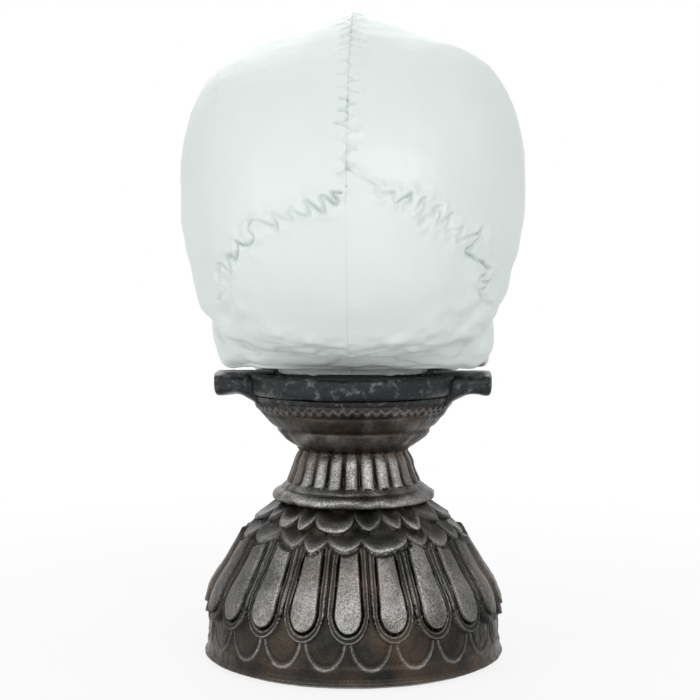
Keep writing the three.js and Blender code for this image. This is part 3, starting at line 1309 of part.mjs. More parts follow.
function speaker() {
  const bottom = PLATE_TOP + FIT_GAP;
  const flange = bottom + SPEAKER_FLANGE_THICKNESS;
  const top = PLATE_TOP + SPEAKER_HEIGHT;
  const magnet = SPEAKER_MAGNET_SHARE * SPEAKER_RADIUS;
  return turned(
    [
      [0, bottom],
      [SPEAKER_RADIUS, bottom],
      [SPEAKER_RADIUS, flange],
      [SPEAKER_BASKET_SHARE * SPEAKER_RADIUS, flange],
      [magnet, (flange + top) / 2],
      [magnet, top],
      [0, top],
    ],
    14,
  ).translate([0, SPEAKER_Y, 0]);
}

function controlBoard() {
  const top = BOARD_Z + BOARD_THICKNESS;
  const half = CHIP_LENGTH / 2;
  const canX = BOARD_LENGTH / 2 - 3 * CAPACITOR_RADIUS;
  const sunk = top - BOARD_THICKNESS / 2;
  return join(
    block(
      [-BOARD_LENGTH / 2, BOARD_LENGTH / 2],
      [doorMiddle - BOARD_WIDTH / 2, doorMiddle + BOARD_WIDTH / 2],
      [BOARD_Z, top],
    ),
    block([-half, half], [doorMiddle - half, doorMiddle + half], [sunk, top + CHIP_HEIGHT]),
    upright(CAPACITOR_RADIUS, canX, doorMiddle, sunk, top + CAPACITOR_HEIGHT, 8),
  );
}

function slideSwitch() {
  const z = PLATE_TOP + FIT_GAP;
  const middle = SWITCH_X + SWITCH_TRAVEL / 2;
  const halfSlot = (KNOB_LENGTH + SWITCH_TRAVEL) / 2 + RUNNING_GAP;
  return cut(
    block(
      [middle - SWITCH_LENGTH / 2, middle + SWITCH_LENGTH / 2],
      [SWITCH_Y - SWITCH_WIDTH / 2, SWITCH_Y + SWITCH_WIDTH / 2],
      [z, z + SWITCH_HEIGHT],
    ),
    block(
      [middle - halfSlot, middle + halfSlot],
      [SWITCH_Y - KNOB_WIDTH / 2 - RUNNING_GAP, SWITCH_Y + KNOB_WIDTH / 2 + RUNNING_GAP],
      [z - OVERRUN, z + SWITCH_HEIGHT / 2],
    ),
  );
}

function switchKnob() {
  return block(
    [SWITCH_X - KNOB_LENGTH / 2, SWITCH_X + KNOB_LENGTH / 2],
    [SWITCH_Y - KNOB_WIDTH / 2, SWITCH_Y + KNOB_WIDTH / 2],
    [PLATE_BOTTOM / 2, PLATE_TOP + SWITCH_HEIGHT / 2],
  );
}

// The black spacer in the pedestal's dish that the skull stands on
function skullMount() {
  const halfWidth = NECK_WIDTH / 2 - SKULL_WALL;
  const halfLength = NECK_LENGTH / 2 - SKULL_WALL;
  const rings = [DISH_FLOOR + FIT_GAP, PEDESTAL_HEIGHT].map((z) =>
    roundedOutline(halfWidth, halfLength, NECK_SQUARENESS, 12).map(
      ([x, y]) => new THREE.Vector3(x, NECK_SETBACK + y, z),
    ),
  );
  const past = PEDESTAL_HEIGHT + OVERRUN;
  return cut(
    loft(rings),
    upright(WIRE_HOLE_RADIUS, 0, NECK_SETBACK, 0, past, 12),
    ...NECK_SCREWS.map(([x, y]) => upright(SCREW_RADIUS + FIT_GAP, x, y, 0, past, 8)),
  );
}

// Leads bound into one loom, from the board up through the neck to the motor
function wireLoom() {
  const start = BOARD_Z + BOARD_THICKNESS + CHIP_HEIGHT + FIT_GAP;
  const motorEnd = MOTOR_X - MOTOR_LENGTH;
  const way = [
    [0, doorMiddle, start],
    [0, doorMiddle, start + OVERRUN],
    [0, 0, WAIST_SHARE * PEDESTAL_HEIGHT - OVERRUN],
    [0, NECK_SETBACK, DISH_UNDERSIDE],
    [0, NECK_SETBACK, SKULL_FLOOR + SKULL_WALL],
    [MOTOR_X, HINGE.y + 2 * OVERRUN, HINGE.z - OVERRUN],
    [motorEnd - OVERRUN, HINGE.y + OVERRUN, SHAFT_HEIGHT - OVERRUN],
    [motorEnd - OVERRUN / 2, HINGE.y, SHAFT_HEIGHT],
    [motorEnd - FIT_GAP, HINGE.y, SHAFT_HEIGHT],
  ].map((place) => new THREE.Vector3(...place));
  return tube(way, LOOM_RADIUS, 18, 5);
}

const up = new THREE.Vector3(0, 0, 1);
const towardRight = new THREE.Vector3(-1, 0, 0);

const pedestal = pedestalHalves();
add("pedestal_front_shell", pedestal.front, "bronze");
add("pedestal_rear_shell", pedestal.rear, "bronze");
add("skull_mount", skullMount(), "black");
const skull = skullHalves();
add("skull_left_shell", skull.left, "bone");
add("skull_right_shell", skull.right, "bone");
NECK_SCREWS.forEach(([x, y], i) => {
  const seat = new THREE.Vector3(x, y, DISH_UNDERSIDE - FIT_GAP);
  add(`neck_screw_${i + 1}`, screw(seat, up, SKULL_FLOOR + SCREW_DEPTH - seat.z), "steel");
});
add("eye_led_left", eyeLed(1), "lens");
add("eye_led_right", eyeLed(-1), "lens");

add("mandible", mandible(), "bone");
const axleEnd = JAW_HALF_WIDTH - FIT_GAP;
add("jaw_axle", crosswise(AXLE_RADIUS, -axleEnd, axleEnd, HINGE.y, HINGE.z, 12), "steel");
add("sector_gear", sectorGear(), "acetal");
add("drive_bracket", driveBracket(), "steel");
bracketTowers.forEach((y, i) => {
  const seat = new THREE.Vector3(BRACKET_X + BRACKET_THICKNESS + FIT_GAP, y, SHAFT_HEIGHT);
  add(`bracket_screw_${i + 1}`, screw(seat, towardRight, seat.x - MOTOR_X + SCREW_DEPTH), "steel");
});
add("drive_motor", driveMotor(), "steel");
const shaftEnds = [MOTOR_X - MOTOR_LENGTH / 3, PINION_LENGTH / 2];
add("motor_shaft", crosswise(MOTOR_SHAFT_RADIUS, ...shaftEnds, HINGE.y, SHAFT_HEIGHT, 8), "steel");
add("motor_pinion", motorPinion(), "acetal");

add("base_plate", basePlate(), "black");
add("battery_door", batteryDoor(), "black");
const doorSeat = new THREE.Vector3(doorScrewX, doorMiddle, PLATE_BOTTOM + DOOR_BORE_DEPTH - FIT_GAP);
add("door_screw", screw(doorSeat, up, PLATE_TOP + SCREW_DEPTH / 2 - doorSeat.z - FIT_GAP), "steel");
for (let row = 0; row < BATTERY_COUNT; row++) add(`battery_${row + 1}`, battery(row), "battery");
add("contact_strip_left", contactStrip(1), "steel");
add("contact_strip_right", contactStrip(-1), "steel");
add("speaker", speaker(), "steel");
add("control_board", controlBoard(), "board");
add("wire_loom", wireLoom(), "wire");
add("switch_body", slideSwitch(), "black");
add("switch_knob", switchKnob(), "black");
FOOT_BOSSES.forEach(([x, y], i) => {
  const seat = new THREE.Vector3(x, y, PLATE_BOTTOM + PLATE_BORE_DEPTH - FIT_GAP);
  add(`base_screw_${i + 1}`, screw(seat, up, PLATE_TOP + SCREW_DEPTH - seat.z), "steel");
});
const padRing = CAVITY_RADIUS - PAD_INSET - PAD_RADIUS;
for (let i = 0; i < 4; i++) {
  const angle = (i / 4) * TURN;
  const [x, y] = [padRing * Math.cos(angle), padRing * Math.sin(angle)];
  add(`foot_pad_${i + 1}`, upright(PAD_RADIUS, x, y, 0, PAD_HEIGHT - FIT_GAP, 10), "rubber");
}

export default model;
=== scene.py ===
"""A white skull with a driven jaw on a dark bronze pedestal, dressed over its fixed frame."""
import json
import math

import bpy
import numpy as np
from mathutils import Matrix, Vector

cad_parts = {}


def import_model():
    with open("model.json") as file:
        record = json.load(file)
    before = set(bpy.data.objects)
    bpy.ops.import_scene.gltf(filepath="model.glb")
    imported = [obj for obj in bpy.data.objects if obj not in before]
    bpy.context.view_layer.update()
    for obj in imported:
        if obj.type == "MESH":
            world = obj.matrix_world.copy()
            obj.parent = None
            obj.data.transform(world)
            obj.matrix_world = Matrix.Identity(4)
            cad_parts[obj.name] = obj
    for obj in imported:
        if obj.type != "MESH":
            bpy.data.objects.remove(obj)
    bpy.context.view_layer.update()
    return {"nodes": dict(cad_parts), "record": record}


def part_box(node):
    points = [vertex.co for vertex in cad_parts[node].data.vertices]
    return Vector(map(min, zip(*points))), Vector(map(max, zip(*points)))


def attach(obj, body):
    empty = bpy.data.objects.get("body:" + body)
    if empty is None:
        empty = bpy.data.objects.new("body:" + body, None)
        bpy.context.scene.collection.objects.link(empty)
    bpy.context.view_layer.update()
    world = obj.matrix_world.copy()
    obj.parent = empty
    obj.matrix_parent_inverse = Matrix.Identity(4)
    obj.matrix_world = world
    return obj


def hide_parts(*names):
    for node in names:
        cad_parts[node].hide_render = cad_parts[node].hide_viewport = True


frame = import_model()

# Lengths are in millimetres about the pedestal's axis and the ground, and become metres in add_mesh
MM = 0.001
pedestal_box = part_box("pedestal_front_shell")
rear_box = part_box("pedestal_rear_shell")
AXIS_Y = (pedestal_box[0][1] + rear_box[1][1]) / 2 / MM

# Skull
HALF_WIDTH, LENGTH, HEIGHT = 77.4, 180.0, 161.3
FORWARD, FLOOR = 4.0, 128.7
WALL = 2.4
SEAM = 0.015
SKULL_STEP = 1.25
HINGE_Y, HINGE_Z = -1.0, 180.0
BITE_Z, UPPER_GUM, LOWER_GUM = 151.3, 159.7, 142.4

# Jaw
JAW_HALF_WIDTH, JAW_REACH, JAW_DROP = 60.5, 90.8, 76.0
RAMUS_THICKNESS, JAW_THICKNESS = 6.4, 8.4
JAW_STEP = 1.1
TOOTH_COUNT, ROOT_LENGTH, BITE_GAP = 12, 2.0, 0.5
ARCH_HALF_WIDTH, ARCH_LENGTH, ARCH_SPREAD = 29.0, 33.5, math.radians(76)
UPPER_ARCH_Y, LOWER_ARCH_Y = -58.0, -55.0

# Pedestal
PEDESTAL_HEIGHT = 128.4
FOOT_RADIUS, WAIST_RADIUS, RIM_RADIUS = 66.4, 25.2, 47.5
RIM_HEIGHT, DISH_RADIUS, DISH_DEPTH = 9.8, 42.5, 6.4
LUG_WIDTH = 35.0
LEAF_COUNT, SCALE_COUNT, FLUTE_COUNT, BEAD_COUNT = 21, 20, 24, 66
LEAF_TIP, LEAF_TOP, BACK_LEAF_TIP = 19.2, 56.6, 7.5
SCALE_LIPS, SCALE_TOP = (55.0, 63.4), 72.2
RING_LOW, RING_MIDDLE, RING_TOP = 70.8, 76.4, 80.2
FLUTE_TOP = 94.6
COLLAR_LOW, COLLAR_TOP = 97.0, 103.0
ROPE_LOW, ROPE_TOP = 111.4, 115.4
PEDESTAL_WALL = 3.2
CAVITY_RADIUS = 59.4
FOOT_LIFT = 0.4

rng = np.random.default_rng(31)


def smooth_table(rows, place):
    """Values at places along rows of place and value, on a smooth curve through the rows."""
    rows = np.asarray(rows, float)
    at, value = rows[:, 0], rows[:, 1]
    slope = np.empty_like(value)
    slope[1:-1] = (value[2:] - value[:-2]) / (at[2:] - at[:-2])
    slope[0] = (value[1] - value[0]) / (at[1] - at[0])
    slope[-1] = (value[-1] - value[-2]) / (at[-1] - at[-2])
    x = np.clip(place, at[0], at[-1])
    i = np.clip(np.searchsorted(at, x, side="right") - 1, 0, len(at) - 2)
    span = at[i + 1] - at[i]
    t = (x - at[i]) / span
    rise = t * t * (3 - 2 * t)
    lead = t * (1 - t) ** 2
    tail = t * t * (t - 1)
    return value[i] + (value[i + 1] - value[i]) * rise + span * (lead * slope[i] + tail * slope[i + 1])


def tracks(rows, places):
    """Smooth curves through each number of the rows, read at places counted in rows."""
    return [smooth_table(np.column_stack([np.arange(len(rows)), row]), places) for row in zip(*rows)]


def ease(low, high, x):
    """From 0 at low to 1 at high, smoothly."""
    t = np.clip((x - low) / (high - low), 0, 1)
    return t * t * (3 - 2 * t)


def line_at(edge, place, width):
    """A soft line of a width, 1 at its place and 0 away from it."""
    return np.exp(-(((edge - place) / width) ** 2))


def laid(under, over, share):
    """One value laid over another by a share."""
    return over * share + under * (1 - share)


# Whole numbers that scatter the noise of a lattice's points, and the step from seed to seed
SCATTER, MIXER, SEED_STEP = (73856093, 19349663, 83492791), 1274126177, 17.3


def lattice_noise(p, size, seed):
    """Smooth noise from -1 to 1 that changes over the given size, at points p."""
    q = p / size + seed * SEED_STEP
    cell = np.floor(q).astype(np.int64)
    f = q - cell
    f = f * f * (3 - 2 * f)
    total = np.zeros(len(p))
    for corner in range(8):
        d = np.array([corner & 1, corner >> 1 & 1, corner >> 2 & 1])
        x, y, z = ((cell + d) * SCATTER).T
        key = x ^ y ^ z
        key = (key ^ (key >> 13)) * MIXER & 0xFFFFFFFF
        value = ((key ^ (key >> 16)) & 0xFFFF) / 32767.5 - 1
        total += value * np.prod(np.where(d == 1, f, 1 - f), axis=1)
    return total


# Forms: distances in millimetres, negative inside
def spot(across, along, up):
    """A place given as shares of the skull's half width, length and height."""
    return np.array([across * HALF_WIDTH, along * LENGTH - FORWARD, up * HEIGHT + FLOOR])


def merge(a, b, reach):
    """Two forms joined, with a soft edge of a reach."""
    h = np.maximum(reach - np.abs(a - b), 0) / reach
    return np.minimum(a, b) - h * h * reach / 4


def carve(a, b, reach):
    """The first form with the second taken out of it, with a soft edge of a reach."""
    return -merge(-a, b, reach)


def ball(p, centre, radii):
    """An ellipsoid."""
    q = (p - np.asarray(centre)) / np.asarray(radii)
    reach = np.linalg.norm(q, axis=1)
    steep = np.linalg.norm(q / np.asarray(radii), axis=1)
    return reach * (reach - 1) / np.maximum(steep, 1e-9)


def bar(p, start, end, r0, r1=None, squeeze=(1, 1, 1)):
    """A round-ended bar of one radius or two, thinner along an axis whose squeeze is over 1."""
    squeeze = np.asarray(squeeze, float)
    a, b = np.asarray(start, float), np.asarray(end, float)
    along = (b - a) * squeeze
    q = (p - a) * squeeze
    t = np.clip(q @ along / (along @ along), 0, 1)
    r = r0 + ((r0 if r1 is None else r1) - r0) * t
    return np.linalg.norm(q - t[:, None] * along, axis=1) - r


def folded(point):
    """The points moved to the left side, for forms that are the same on both."""
    return np.column_stack([np.abs(point[:, 0]), point[:, 1], point[:, 2]])


def chain(p, points, radius, reach, squeeze=(1, 1, 1)):
    """Bars from point to point, joined softly."""
    form = None
    for a, b in zip(points[:-1], points[1:]):
        link = bar(p, a, b, radius, squeeze=squeeze)
        form = link if form is None else merge(form, link, reach)
    return form


# The braincase: its middle, the reach of its section round that middle, and how square it is
MIDDLE_SHARES = (0, 0.0556, 0.473)
MIDDLE = spot(*MIDDLE_SHARES)
SAGITTAL_SHARES = [
    (-0.078, 0.151), (0.078, 0.107), (0.189, 0.058), (0.278, 0.054), (0.356, 0.076), (0.433, 0.163),
    (0.483, 0.268), (0.5, 0.392), (0.489, 0.516), (0.45, 0.64), (0.378, 0.758), (0.278, 0.857),
    (0.156, 0.938), (0.017, 0.991), (-0.056, 1), (-0.178, 0.981), (-0.3, 0.926), (-0.4, 0.826),
    (-0.461, 0.709), (-0.489, 0.603), (-0.5, 0.535), (-0.467, 0.461), (-0.389, 0.38), (-0.283, 0.306),
    (-0.189, 0.256), (-0.111, 0.194),
]
SQUARENESS_BY_TURN = [
    (-0.25, 2.6), (-0.17, 2.77), (-0.083, 2.5), (0, 2.2), (0.125, 2.25), (0.25, 2.3), (0.375, 2),
    (0.486, 1.85), (0.55, 1.9), (0.65, 2.2), (0.75, 2.6),
]
KEEL_SHARE = 0.05
# How wide the braincase is at a height, against its own section
WIDTH_BY_HEIGHT = [
    (140, 1), (154, 0.985), (160, 0.957), (166, 0.948), (172, 0.936), (177, 0.936), (182, 0.949),
    (188, 0.956), (197, 0.972), (206, 0.979), (216, 0.985), (226, 0.995), (236, 1.002), (246, 1.012),
    (256, 1.018), (290, 1.02),
]


def sagittal_reach():
    """Rows of turn about the middle and reach as a share, closed round the full turn."""
    rows = []
    for along, up in SAGITTAL_SHARES:
        a, u = along - MIDDLE_SHARES[1], up - MIDDLE_SHARES[2]
        turn = math.atan2(u, a) / math.tau
        rows.append((turn + 1 if turn < -0.25 else turn, math.hypot(a, u)))
    rows.sort()
    return [(rows[-1][0] - 1, rows[-1][1])] + rows + [(rows[0][0] + 1, rows[0][1])]


REACH_ROWS = sagittal_reach()


def braincase(p):
    """The rounded case, with a keel along the crown."""
    across = np.abs(p[:, 0]) / HALF_WIDTH / smooth_table(WIDTH_BY_HEIGHT, p[:, 2])
    a = (p[:, 1] - MIDDLE[1]) / LENGTH
    u = (p[:, 2] - MIDDLE[2]) / HEIGHT
    turn = np.arctan2(u, a) / math.tau
    turn = np.where(turn < -0.25, turn + 1, turn)
    square = smooth_table(SQUARENESS_BY_TURN, turn)
    away = np.linalg.norm(p - MIDDLE, axis=1)
    tilt = np.arcsin(np.clip(np.abs(p[:, 0]) / np.maximum(away, 1e-6), 0, 1))
    crown = np.maximum(0, np.sin(turn * math.tau)) ** 2
    keel = 1 - KEEL_SHARE * crown * np.maximum(0, np.sin(4 * np.minimum(tilt, math.pi / 4)))
    middle = np.hypot(a, u) / smooth_table(REACH_ROWS, turn)
    full = (middle**square + across**square) ** (1 / square) / keel
    return away * (1 - 1 / np.maximum(full, 1e-6))


# The wide base under the braincase: rows of height, half width, half length, setback and squareness
NECK_ROWS = [(0, 33, 23.5, 5.5, 3.4), (0.1, 36, 25, 5.5, 3.4)]
BASE_ROWS = [
    (0.012, 50, 27.6, 8, 3), (0.06, 55.4, 33.4, 12.7, 2.6), (0.13, 56.2, 36.4, 14.5, 2.4),
    (0.22, 46.2, 30.5, 10.9, 2),
]
BASE_UNDER, BASE_TOP = 3.2, 0.2


def level_form(p, rows):
    """A form given by its level sections."""
    up = (p[:, 2] - FLOOR) / HEIGHT
    rows = np.array(rows)
    half_width, half_length, setback, square = (
        np.interp(up, rows[:, 0], rows[:, k]) for k in (1, 2, 3, 4))
    u, v = np.abs(p[:, 0]) / half_width, np.abs(p[:, 1] - setback) / half_length
    full = (u**square + v**square) ** (1 / square)
    return (full - 1) * np.minimum(half_width, half_length)


def base_form(p):
    """The base with the narrower neck under it."""
    wide = np.maximum(level_form(p, BASE_ROWS), p[:, 2] - FLOOR - BASE_TOP * HEIGHT)
    wide = carve(wide, p[:, 2] - FLOOR - BASE_UNDER, 3)
    neck = np.maximum(level_form(p, NECK_ROWS), p[:, 2] - FLOOR - 2 * BASE_UNDER)
    return merge(wide, neck, 2)


# Hollow beside the braincase in which the jaw's upright branch swings
HOLLOW_IN, HOLLOW_Y, HOLLOW_Z = 49.9, -20.2, 152.9
HOLLOW_LENGTH, HOLLOW_HEIGHT = 39.6, 46.8


def jaw_hollow(p):
    """The hollow, wider the farther it lies from the middle."""
    x = np.abs(p[:, 0])
    grow = np.interp(x, [HOLLOW_IN, 61.9, 100.6], [0.88, 0.98, 1.5])
    u, v = np.abs(p[:, 1] - HOLLOW_Y) / HOLLOW_LENGTH, np.abs(p[:, 2] - HOLLOW_Z) / HOLLOW_HEIGHT
    full = (u**3 + v**3) ** (1 / 3) / grow
    return np.maximum(HOLLOW_IN - x, (full - 1) * HOLLOW_LENGTH * 0.8)


# Eye sockets narrow and draw inward toward their floors, where the lamps stand: rows of depth and size
SOCKET_ROWS = [(-118, 1.34), (-90, 1.03), (-82, 0.93), (-72.4, 0.86), (-63, 0.62), (-59.5, 0.4)]
SOCKET_X, SOCKET_Z, SOCKET_FLOOR, SOCKET_SQUARENESS = 32.6, 196.4, -59, 2.7
SOCKET_HALF_WIDTH, SOCKET_HALF_HEIGHT, SOCKET_LEAN = 19.6, 17.2, 0.14


def eye_socket(p):
    """The hollow of one eye, with squarish sides and a slight lean."""
    y = p[:, 1]
    size = np.interp(y, [r[0] for r in SOCKET_ROWS], [r[1] for r in SOCKET_ROWS])
    inward = np.interp(y, [-88.6, -58], [0, 11.8])
    x, z = p[:, 0] - (SOCKET_X - inward), p[:, 2] - SOCKET_Z
    z = z + SOCKET_LEAN * x
    wide = (np.abs(x) / (SOCKET_HALF_WIDTH * size)) ** SOCKET_SQUARENESS
    tall = (np.abs(z) / (SOCKET_HALF_HEIGHT * size)) ** SOCKET_SQUARENESS
    full = (wide + tall) ** (1 / SOCKET_SQUARENESS)
    return np.maximum((full - 1) * 16 * size, y - SOCKET_FLOOR)


# The nose's opening: its middle, half height and depth, and the front of the wall that divides it
NOSE_Z, NOSE_HALF_HEIGHT, NOSE_FLOOR, SEPTUM_FRONT = 184.3, 14.6, -79.6, -91.5


def nose_hollow(p):
    """The opening, widest below its middle, less the wall that divides it."""
    x, y, z = p[:, 0], p[:, 1], p[:, 2] - NOSE_Z
    wide = np.interp(z, [-14, -7, 3, 14], [9.5, 12.6, 9.5, 4.2])
    full = ((np.abs(x) / wide) ** 2.2 + (np.abs(z) / NOSE_HALF_HEIGHT) ** 4) ** (1 / 2.4)
    hole = np.maximum((full - 1) * 9, y - NOSE_FLOOR)
    septum = np.maximum(np.abs(x) - 0.9 - 0.05 * np.abs(z), SEPTUM_FRONT - y - 0.3 * np.abs(z))
    return np.maximum(hole, -septum)


def arch_place(p):
    """How far a point lies outside the curve of the tooth rows."""
    y = (p[:, 1] - UPPER_ARCH_Y) / (ARCH_LENGTH - 2)
    e = np.hypot(p[:, 0] / (ARCH_HALF_WIDTH - 1), np.minimum(y, 0))
    return (e - 1) * ARCH_HALF_WIDTH


# Bones of the face: the points of a chain, its radius and the reach of its joins
BROW = [(4, -88.5, 213.5), (16, -88.5, 214.5), (28, -85.2, 217), (40, -79.6, 216.5), (48, -72, 211)], 5, 5
SOCKET_RIM = [(48, -72, 211), (51.3, -66, 199), (49.4, -65.5, 187)], 4.9, 4
LOWER_RIM = [(46, -71, 183), (37, -79, 178.5), (24, -84, 177), (14, -87.5, 183)], 4.6, 4
NOSE_SIDE = [(14.5, -86.5, 184), (10.5, -89, 196), (7, -89, 208)], 4.3, 4
CHEEK_ARCH = [
    (44, -66.1, 184.6), (56.4, -60.7, 185.5), (65.2, -46.3, 185.4), (68.4, -29.2, 184.6), (68.8, -6, 184.8),
    (66.6, 9.5, 185.6), (59.2, 19.4, 186.4),
], 4.1, 4, (1.08, 1.08, 0.84)
# Rounded masses and hollows: a centre and three radii
TEMPLE = spot(0.98, -0.267, 0.467), (22.4, 26.1, 22.6)
CHEEK = (45.5, -68.5, 180.5), (12.5, 9.5, 9.5)
GLABELLA = (0, -88, 212), (15, 7, 9)
UPPER_JAW = (0, -70, 174.5), (33, 21, 17.5)
CANINE_HOLLOW = (25.5, -91.5, 172.5), (8, 6, 7)
PALATE = (0, -62, 156), (19, 21, 13)
MASTOID = (53.4, 19.4, 148), (8.1, 11.7, 16)
# Bars: two ends and the radius at each
NOSE_BRIDGE = (0, -83.5, 213), (0, -89.8, 205), 6.4, 5.1
NOSE_BONE = (0, -89.8, 205), (0, -96, 196), 5.1, 3.1
NOSE_SPINE = (0, -90, 169), (0, -95.6, 170.4), 2.4, 1.2
EAR_HOLE = (80, 19, 176), (60, 16, 177), 3.2
GUM_HALF_THICKNESS, GUM_RISE, GUM_HALF_HEIGHT, ROOT_SWELL = 5.7, 7, 8.2, 0.55
BOSS_X, BOSS_RADIUS, BOSS_HALF_LENGTH, AXLE_BORE = 46.5, 6, 3.4, 2.5
LAMP_X, LAMP_Y, LAMP_HALF_LENGTH, LAMP_BORE = 20.7, -58, 6, 2.9
WIRE_HOLE_Y, WIRE_HOLE_RADIUS = 5.5, 6


def gum_form(p):
    """The gum over the upper teeth, with a swelling over each root."""
    gum = np.abs(arch_place(p) + 0.5) - GUM_HALF_THICKNESS
    gum = np.maximum(gum, np.abs(p[:, 2] - UPPER_GUM - GUM_RISE) - GUM_HALF_HEIGHT)
    gum = np.maximum(gum, p[:, 1] - UPPER_ARCH_Y - 1)
    share = np.arctan2(p[:, 0], UPPER_ARCH_Y - p[:, 1]) / ARCH_SPREAD
    roots = ROOT_SWELL * np.cos((share * TOOTH_COUNT / 2 - 0.5) * math.tau)
    return gum - roots * ease(UPPER_GUM + 2 * GUM_RISE, UPPER_GUM + 1, p[:, 2])


def skull_outside(point):
    """The whole skull as if solid. The last number of each join is how softly it blends."""
    p = folded(point)
    case = carve(braincase(p), ball(p, *TEMPLE), 16)
    face = merge(ball(p, *UPPER_JAW), gum_form(p), 7)
    face = carve(face, ball(p, *CANINE_HOLLOW), 6)
    face = merge(face, ball(p, *CHEEK), 6)
    for bone in (LOWER_RIM, NOSE_SIDE, SOCKET_RIM, BROW):
        face = merge(face, chain(p, *bone), 6)
    nose_bone = merge(bar(p, *NOSE_BRIDGE), bar(p, *NOSE_BONE), 2)
    for bone in (nose_bone, ball(p, *GLABELLA)):
        face = merge(face, bone, 5)
    face = merge(face, bar(p, *NOSE_SPINE), 3)
    form = merge(case, face, 7)
    form = carve(form, ball(p, *PALATE), 4)
    form = merge(form, base_form(p), 8)
    form = merge(form, ball(p, *MASTOID), 5)
    form = carve(form, eye_socket(p), 3.2)
    form = carve(form, nose_hollow(p), 1.6)
    form = carve(form, jaw_hollow(p), 2)
    form = merge(form, chain(p, *CHEEK_ARCH), 5)
    form = carve(form, bar(p, *EAR_HOLE), 3)
    return np.maximum(form, FLOOR - p[:, 2])


def from_hinge(p):
    """Distance from the jaw's axle line."""
    return np.hypot(p[:, 1] - HINGE_Y, p[:, 2] - HINGE_Z)


def skull_form(p):
    """The shell, with the axle's bosses and bores and the holes for lamps and wires."""
    outside = skull_outside(p)
    shell = np.maximum(outside, -outside - WALL)
    x = np.abs(p[:, 0])
    boss = np.maximum(from_hinge(p) - BOSS_RADIUS, np.abs(x - BOSS_X) - BOSS_HALF_LENGTH)
    shell = np.minimum(shell, boss)
    bore = from_hinge(p) - AXLE_BORE
    lamp = np.hypot(x - LAMP_X, p[:, 2] - SOCKET_Z) - LAMP_BORE
    lamp = np.maximum(lamp, np.abs(p[:, 1] - LAMP_Y) - LAMP_HALF_LENGTH)
    wires = np.hypot(p[:, 0], p[:, 1] - WIRE_HOLE_Y) - WIRE_HOLE_RADIUS
    wires = np.maximum(wires, p[:, 2] - FLOOR - 6)
    return np.maximum(np.maximum(shell, -bore), np.maximum(-lamp, -wires))


# Surfaces where a form is zero, as quads on a grid
EDGES = [(a, b) for a in range(8) for b in range(8) if a < b and bin(a ^ b).count("1") == 1]
BATCH = 400000
CUT_WEIGHT = 1e-4


def surface_net(form, low, high, step):
    """Quads round the space where form is under zero, cut flat at the low side across."""
    counts = [int(math.ceil((h - l) / step)) + 1 for l, h in zip(low, high)]
    axes = [l + step * np.arange(n) for l, n in zip(low, counts)]
    axes[0] = np.concatenate([[low[0] - step], axes[0]])
    shape = tuple(len(a) for a in axes)
    grid = np.stack(np.meshgrid(*axes, indexing="ij"), axis=-1).reshape(-1, 3)
    field = np.concatenate([form(grid[start : start + BATCH]) for start in range(0, len(grid), BATCH)])
    field = field.reshape(shape)
    field[0] = step
    inside = field < 0
    cells = tuple(n - 1 for n in shape)

    def corner(array, c):
        return array[tuple(slice(c >> k & 1, (c >> k & 1) + cells[k]) for k in range(3))]

    total = sum(corner(inside, c).astype(np.int8) for c in range(8))
    active = (total > 0) & (total < 8)
    where = np.argwhere(active)
    number = -np.ones(cells, np.int64)
    number[active] = np.arange(len(where))
    corners = [corner(field, c)[active] for c in range(8)]
    sums, weights = np.zeros((len(where), 3)), np.zeros(len(where))
    on_cut = where[:, 0] == 0
    for a, b in EDGES:
        va, vb = corners[a], corners[b]
        cross = (va < 0) != (vb < 0)
        t = np.where(cross, va / np.where(va == vb, 1, va - vb), 0)
        pa = np.array([a >> k & 1 for k in range(3)], float)
        pb = np.array([b >> k & 1 for k in range(3)], float)
        along_cut = bool(a & b & 1)
        weight = cross * np.where(on_cut & (not along_cut), CUT_WEIGHT, 1)
        sums += weight[:, None] * (pa + t[:, None] * (pb - pa))
        weights += weight
    origin = np.array([a[0] for a in axes])
    points = origin + (where + sums / weights[:, None]) * step
    points[on_cut, 0] = low[0]
    quads = []
    for k in range(3):
        u, v = (k + 1) % 3, (k + 2) % 3
        at = np.argwhere(np.diff(inside, axis=k))
        at = at[(at[:, u] > 0) & (at[:, v] > 0) & (at[:, u] < cells[u]) & (at[:, v] < cells[v])]
        du, dv = np.eye(3, dtype=int)[[u, v]]
        quad = np.stack([number[tuple(c.T)] for c in (at - du - dv, at - dv, at, at - du)], axis=1)
        flip = ~inside[tuple(at.T)]
        quad[flip] = quad[flip][:, ::-1]
        quads.append(quad)
    return points, np.concatenate(quads), on_cut


SLOPE_STEP, LONGEST_MOVE = 0.15, 0.6


def settle(points, form, free, rounds):
    """Moves the free points onto the surface where form is zero, by LONGEST_MOVE a round at most."""
    h = SLOPE_STEP
    for _ in range(rounds):
        p = points[free]
        slope = np.stack([(form(p + h * e) - form(p - h * e)) / (2 * h) for e in np.eye(3)], axis=1)
        push = form(p) / np.maximum(np.sum(slope * slope, axis=1), 0.2)
        push = np.clip(push, -LONGEST_MOVE, LONGEST_MOVE)
        points[free] = p - push[:, None] * slope
    return points


